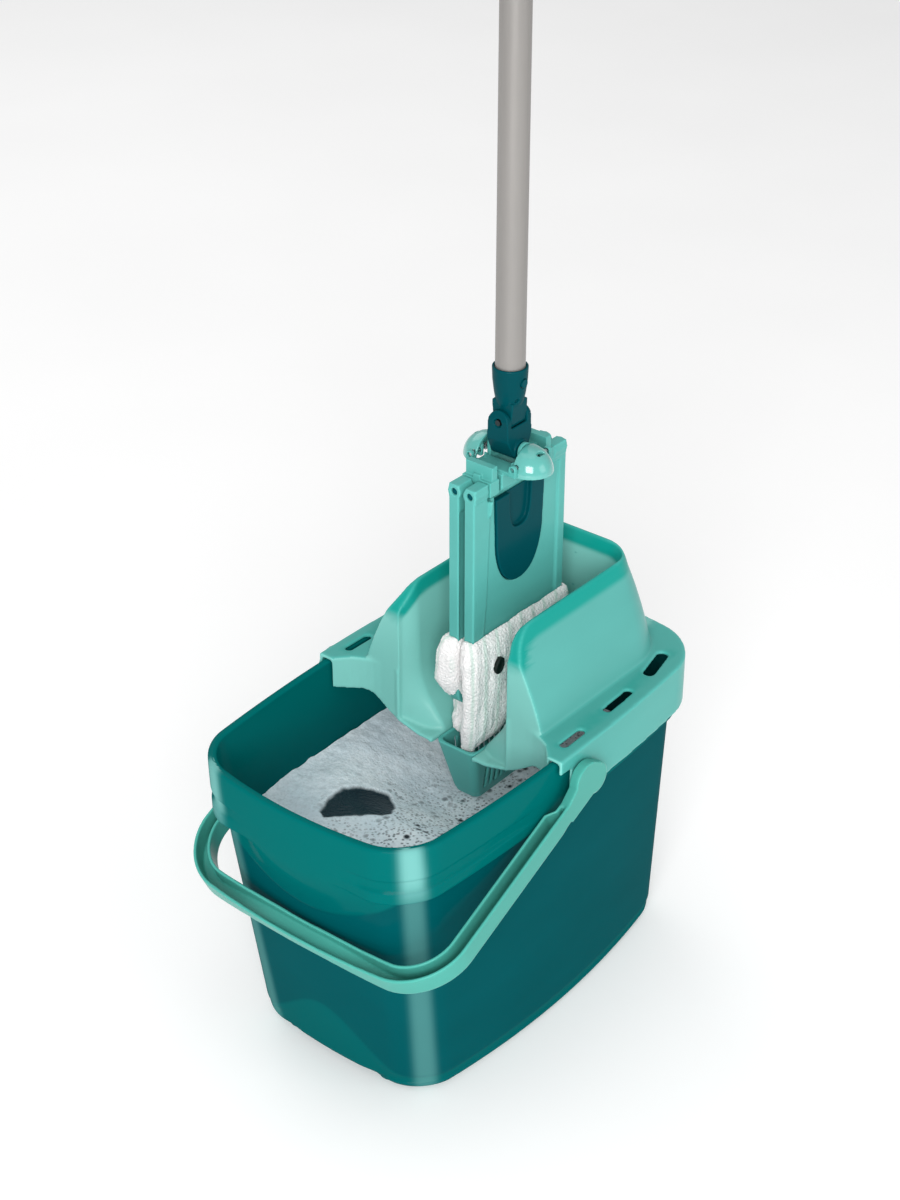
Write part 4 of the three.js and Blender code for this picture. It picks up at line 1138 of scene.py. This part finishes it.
def microfibre():
    g = Graph("microfibre")
    place = g.add("ShaderNodeSeparateXYZ")
    g.link(g.place(), place.inputs[0])
    depth = g.math("ABSOLUTE", place.outputs["Y"])
    along = g.math("ADD", place.outputs["X"], g.math("MULTIPLY", depth, 0.9))
    wobble = g.math("MULTIPLY", g.noise(28, 2), 0.006)
    phase = g.math("FRACT", g.math("MULTIPLY", g.math("ADD", along, wobble), 68.0))
    band = g.math("ABSOLUTE", g.math("SUBTRACT", phase, 0.5))
    stripe = g.ramp(band, [(0.05, (0.9, 0.9, 0.9)), (0.17, (0, 0, 0))])
    tufts = g.add("ShaderNodeTexVoronoi", Scale=520.0)
    g.link(g.place(), tufts.inputs["Vector"])
    pile = g.noise(700, 5, None, 0.7)
    white = g.ramp(pile, [(0.3, (0.8, 0.785, 0.78)), (0.62, (0.95, 0.935, 0.93))])
    green = g.mix(0.6, white, linear("#b5d6c8"))
    striped = g.mix(stripe, white, green)
    # The cloth is darker towards its lower edge.
    darker_below = g.ramp(place.outputs["Z"], [(0.205, (0.84, 0.83, 0.84)), (0.25, (1, 1, 1))])
    g.link(g.mix(1.0, striped, darker_below, "MULTIPLY"), g.shader.inputs["Base Color"])
    g.link(g.range(pile, 0.85, 1.0), g.shader.inputs["Roughness"])
    near = g.bump(tufts.outputs["Distance"], 0.0008, 0.9)
    g.link(g.bump(pile, 0.0006, 0.8, near), g.shader.inputs["Normal"])
    g.shader.inputs["Sheen Weight"].default_value = 0.35
    g.shader.inputs["Sheen Roughness"].default_value = 0.6
    g.shader.inputs["Specular IOR Level"].default_value = 0.1
    return g.material


# ---------- suds ----------
OPEN_WATER = [
    (-91.1, 53.4), (-75.7, 59.6), (-57.5, 60.4), (-42.9, 52.8), (-32.3, 44), (-28.9, 39.3), (-34.4,
    32.1), (-37.5, 25.6), (-46.1, 18.3), (-55.2, 14.3), (-63.6, 17.1), (-76, 28.9), (-87, 39.3),
    (-95.1, 47.3),
]


def signed_gap(points, ring):
    """Distance to a closed outline, negative inside it."""
    ring = np.array(ring, float)
    best = np.full(len(points), 1e9)
    inside = np.zeros(len(points), bool)
    for a, b in zip(ring, np.roll(ring, -1, axis=0)):
        edge = b - a
        t = np.clip(((points - a) @ edge) / (edge @ edge), 0, 1)
        best = np.minimum(best, np.linalg.norm(points - a - t[:, None] * edge, axis=1))
        crosses = (a[1] > points[:, 1]) != (b[1] > points[:, 1])
        with np.errstate(divide="ignore", invalid="ignore"):
            at = a[0] + (points[:, 1] - a[1]) * edge[0] / edge[1]
        inside ^= crosses & (points[:, 0] < at)
    return np.where(inside, -best, best)


def make_suds():
    step = 1.5
    xs = np.arange(-176, 176, step)
    ys = np.arange(-104, 104, step)
    grid = np.stack(np.meshgrid(xs, ys, indexing="ij"), -1).reshape(-1, 2)
    wall = outline(bucket_form(SUDS_Z), -4 * (0.2 + 0.8 * SUDS_Z / RIM_TOP) - 2.2, 12, 12)
    gap = signed_gap(grid, wall)
    flat = np.column_stack([grid, np.zeros(len(grid))])
    bumps = 1.5 * value_noise(flat, 46, 31) + 0.8 * value_noise(flat, 17, 32) + 0.45 * value_noise(flat, 6.5, 33)
    climb = 3.2 * np.exp(np.minimum(gap, 0) / 7)
    ragged = signed_gap(grid + np.column_stack([
        0.7 * value_noise(flat, 11, 34), 0.7 * value_noise(flat, 9, 35)]), OPEN_WATER)
    open_water = 1 - smoothstep(-1.2, 1.6, ragged)
    lip = 0.4 * np.exp(-((ragged - 3) / 2.6) ** 2)
    away = np.hypot(np.maximum(np.maximum(2 - grid[:, 0], grid[:, 0] - 146), 0),
                    np.maximum(np.abs(grid[:, 1]) - 19, 0))
    level = SUDS_Z - 25 * (1 - smoothstep(0, 1, away / 78)) - 3 * smoothstep(20, 90, -grid[:, 1])
    z = level + (0.5 * bumps + lip) * (1 - open_water) + climb - 1.4 * open_water
    keep = gap < 1.3
    number = np.full(len(grid), -1)
    number[keep] = np.arange(keep.sum())
    rows, columns = len(xs), len(ys)
    faces = []
    for i in range(rows - 1):
        for j in range(columns - 1):
            corners = number[[i * columns + j, (i + 1) * columns + j, (i + 1) * columns + j + 1, i * columns + j + 1]]
            if (corners >= 0).all():
                faces.append(tuple(int(c) for c in corners))
    suds = build("suds", np.column_stack([grid, z])[keep], faces)
    paint(suds, "open_water", open_water[keep])
    return suds


def suds_look():
    g = Graph("suds")
    place = g.add("ShaderNodeSeparateXYZ")
    g.link(g.place(), place.inputs[0])
    fine = g.add("ShaderNodeTexVoronoi", Scale=330.0)
    coarse = g.add("ShaderNodeTexVoronoi", Scale=135.0)
    for node in (fine, coarse):
        g.link(g.place(), node.inputs["Vector"])
    toward = g.math("MULTIPLY", place.outputs["Y"], -5.5)
    cluster = g.math("ADD", g.noise(26, 4, None, 0.65), toward)
    often = g.range(cluster, 0.12, 1.0, 0.26, 0.6)
    some = g.math("GREATER_THAN", coarse.outputs["Color"], 0.5)
    big_hole = g.math("MULTIPLY", g.range(coarse.outputs["Distance"], 1.0, 0.0, 0.2, 0.42), some)
    small_hole = g.range(fine.outputs["Distance"], 1.0, 0.0, 0.2, 0.42)
    holes = g.math("MULTIPLY", g.math("MAXIMUM", big_hole, g.math("MULTIPLY", small_hole, 0.7)), often)
    cloud = g.ramp(g.noise(14, 4), [(0.3, linear("#cfdfe8")), (0.7, linear("#f2f8fb"))])
    speckle = g.mix(g.range(g.noise(420, 2), 0.0, 0.5, 0.4, 0.7), cloud, linear("#c2d2da"))
    # Painted shade: the bubble pits are painted near black inside.
    pit_shaded = g.mix(holes, speckle, linear("#14222a"))
    water = g.add("ShaderNodeAttribute", attribute_name="open_water")
    g.link(g.mix(water.outputs["Fac"], pit_shaded, linear("#20333c")), g.shader.inputs["Base Color"])
    g.link(g.range(water.outputs["Fac"], 0.45, 0.3, 0.0, 1.0), g.shader.inputs["Roughness"])
    dents = g.bump(g.math("SUBTRACT", g.noise(380, 3), g.math("MULTIPLY", holes, 1.2)), 0.0012, 0.7)
    g.link(dents, g.shader.inputs["Normal"])
    g.shader.inputs["Specular IOR Level"].default_value = 0.3
    # Painted light: outside the open water the foam glows faintly through emission.
    g.link(g.mix(water.outputs["Fac"], pit_shaded, (0.0, 0.0, 0.0)), g.shader.inputs["Emission Color"])
    g.shader.inputs["Emission Strength"].default_value = 0.1
    return g.material


# ---------- assembly of the hard pieces ----------
finish_piece(make_bucket(), "bucket", "bucket", "bucket_plastic", bucket_plastic, "bucket_shell")
finish_piece(make_bail(), "bail", "bail", "light_plastic", bail_plastic, "bail_handle")
finish_piece(make_press(), "press", "press", "light_plastic", press_plastic, "press_funnel")
finish_piece(make_strainer(), "strainer", "press", "light_plastic", light_plastic, "strainer_basket")
finish_piece(make_head_frame(), "mop_frame", "mop", "light_plastic", light_plastic, "head_frame")
finish_piece(make_yoke(), "joint_yoke", "yoke_link", "dark_plastic", dark_plastic, "yoke")
finish_piece(make_socket(), "socket", "pole", "dark_plastic", dark_plastic, "pole_socket")
finish_piece(make_tube(), "tube", "pole", "pole_aluminium", aluminium, "pole_tube")
finish_piece(make_grip(), "grip", "pole", "grip_plastic", grip_rubber, "pole_grip")
finish_piece(make_end_cap(), "cap", "pole", "dark_plastic", dark_plastic, "end_cap")
for name, side in (("near", -1), ("far", 1)):
    body = f"{name}_wing"
    finish_piece(make_wing(side), f"mop_wing_{name}", body, "light_plastic", light_plastic, f"wing_{name}")
    finish_piece(make_insert(side), f"panel_{name}", body, "dark_plastic", dark_plastic, f"insert_{name}")
    pin = make_pin((12, side * PIN[0], PIN[1]), (120, side * PIN[0], PIN[1]), 2.4)
    finish_piece(pin, f"wing_pin_{name}", nodes[f"hinge_pin_{name}"]["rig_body"], "dark_plastic", dark_plastic,
                 f"hinge_pin_{name}")
    finish_piece(make_pedal(side), f"dome_{name}", f"{name}_pedal", "light_plastic", gloss_plastic,
                 f"pedal_{name}")
cloth_look = microfibre()
for name, side in (("near", -1), ("far", 1)):
    cover = finish_piece(make_cover(name, side), f"sleeve_{name}", f"{name}_wing", "microfibre", cloth_look,
                         f"cover_{name}")
    eyelet = make_eyelet(side, 22.3)
    finish_piece(eyelet, f"eyelet_{name}", f"{name}_wing", "grip_plastic", eyelet_rubber)
suds = make_suds()
suds.data.materials.append(suds_look())
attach(suds, "bucket")
for name, material in (
    ("yoke_pin", steel), ("socket_pin", dark_steel), ("pedal_pin_near", steel), ("pedal_pin_far", steel),
    ("pedal_spring_near", steel), ("pedal_spring_far", steel), ("click_spring", steel),
    ("click_button", dark_plastic),
):
    nodes[name].data.materials.clear()
    nodes[name].data.materials.append(material)


# ---------- camera, floor and light ----------
def aim(obj, target):
    direction = Vector(target) - obj.location
    obj.rotation_euler = direction.to_track_quat("-Z", "Y").to_euler()


camera = add_object("camera", bpy.data.cameras.new("camera"))
camera.location = (-1.0602, -0.8628, 1.1639)
camera.data.lens = 65.58
camera.data.sensor_width = 36
camera.data.sensor_height = 36
camera.data.sensor_fit = "AUTO"
aim(camera, (-0.0019, 0, 0.3424))
bpy.context.scene.camera = camera

floor = build("floor", [(-9000, -9000, 0), (9000, -9000, 0), (9000, 9000, 0), (-9000, 9000, 0)], [(0, 1, 2, 3)])
floor_look = Graph("pale floor")
floor_look.link(
    floor_look.ramp(floor_look.noise(3, 2), [(0.3, (0.93, 0.93, 0.93)), (0.7, (0.95, 0.95, 0.95))]),
    floor_look.shader.inputs["Base Color"],
)
floor_look.shader.inputs["Emission Color"].default_value = (1, 1, 1, 1)
floor_look.shader.inputs["Emission Strength"].default_value = 0.12
floor_look.shader.inputs["Roughness"].default_value = 0.9
floor_look.shader.inputs["Specular IOR Level"].default_value = 0.1
floor.data.materials.append(floor_look.material)


def area_light(name, place, target, size, power):
    data = bpy.data.lights.new(name, "AREA")
    data.shape = "RECTANGLE"
    data.size, data.size_y = size
    data.energy = power
    light = add_object(name, data)
    light.location = place
    aim(light, target)


area_light("key", (-2.4, -1.7, 1.55), (0, 0, 0.25), (1.6, 1.6), 82)
area_light("top", (0.3, 0.2, 3.4), (0, 0, 0.2), (2.6, 2.6), 10)
area_light("side", (0.6, -2.8, 1.2), (0, 0, 0.3), (1.6, 1.6), 12)
area_light("back", (0.8, 2.6, 2.4), (0, 0, 0.3), (2.4, 1.8), 16)
world = bpy.data.worlds.new("world")
world.use_nodes = True
world.node_tree.nodes["Background"].inputs["Color"].default_value = (1, 1, 1, 1)
world.node_tree.nodes["Background"].inputs["Strength"].default_value = 0.55
bpy.context.scene.world = world
bpy.context.scene.view_settings.view_transform = "Standard"
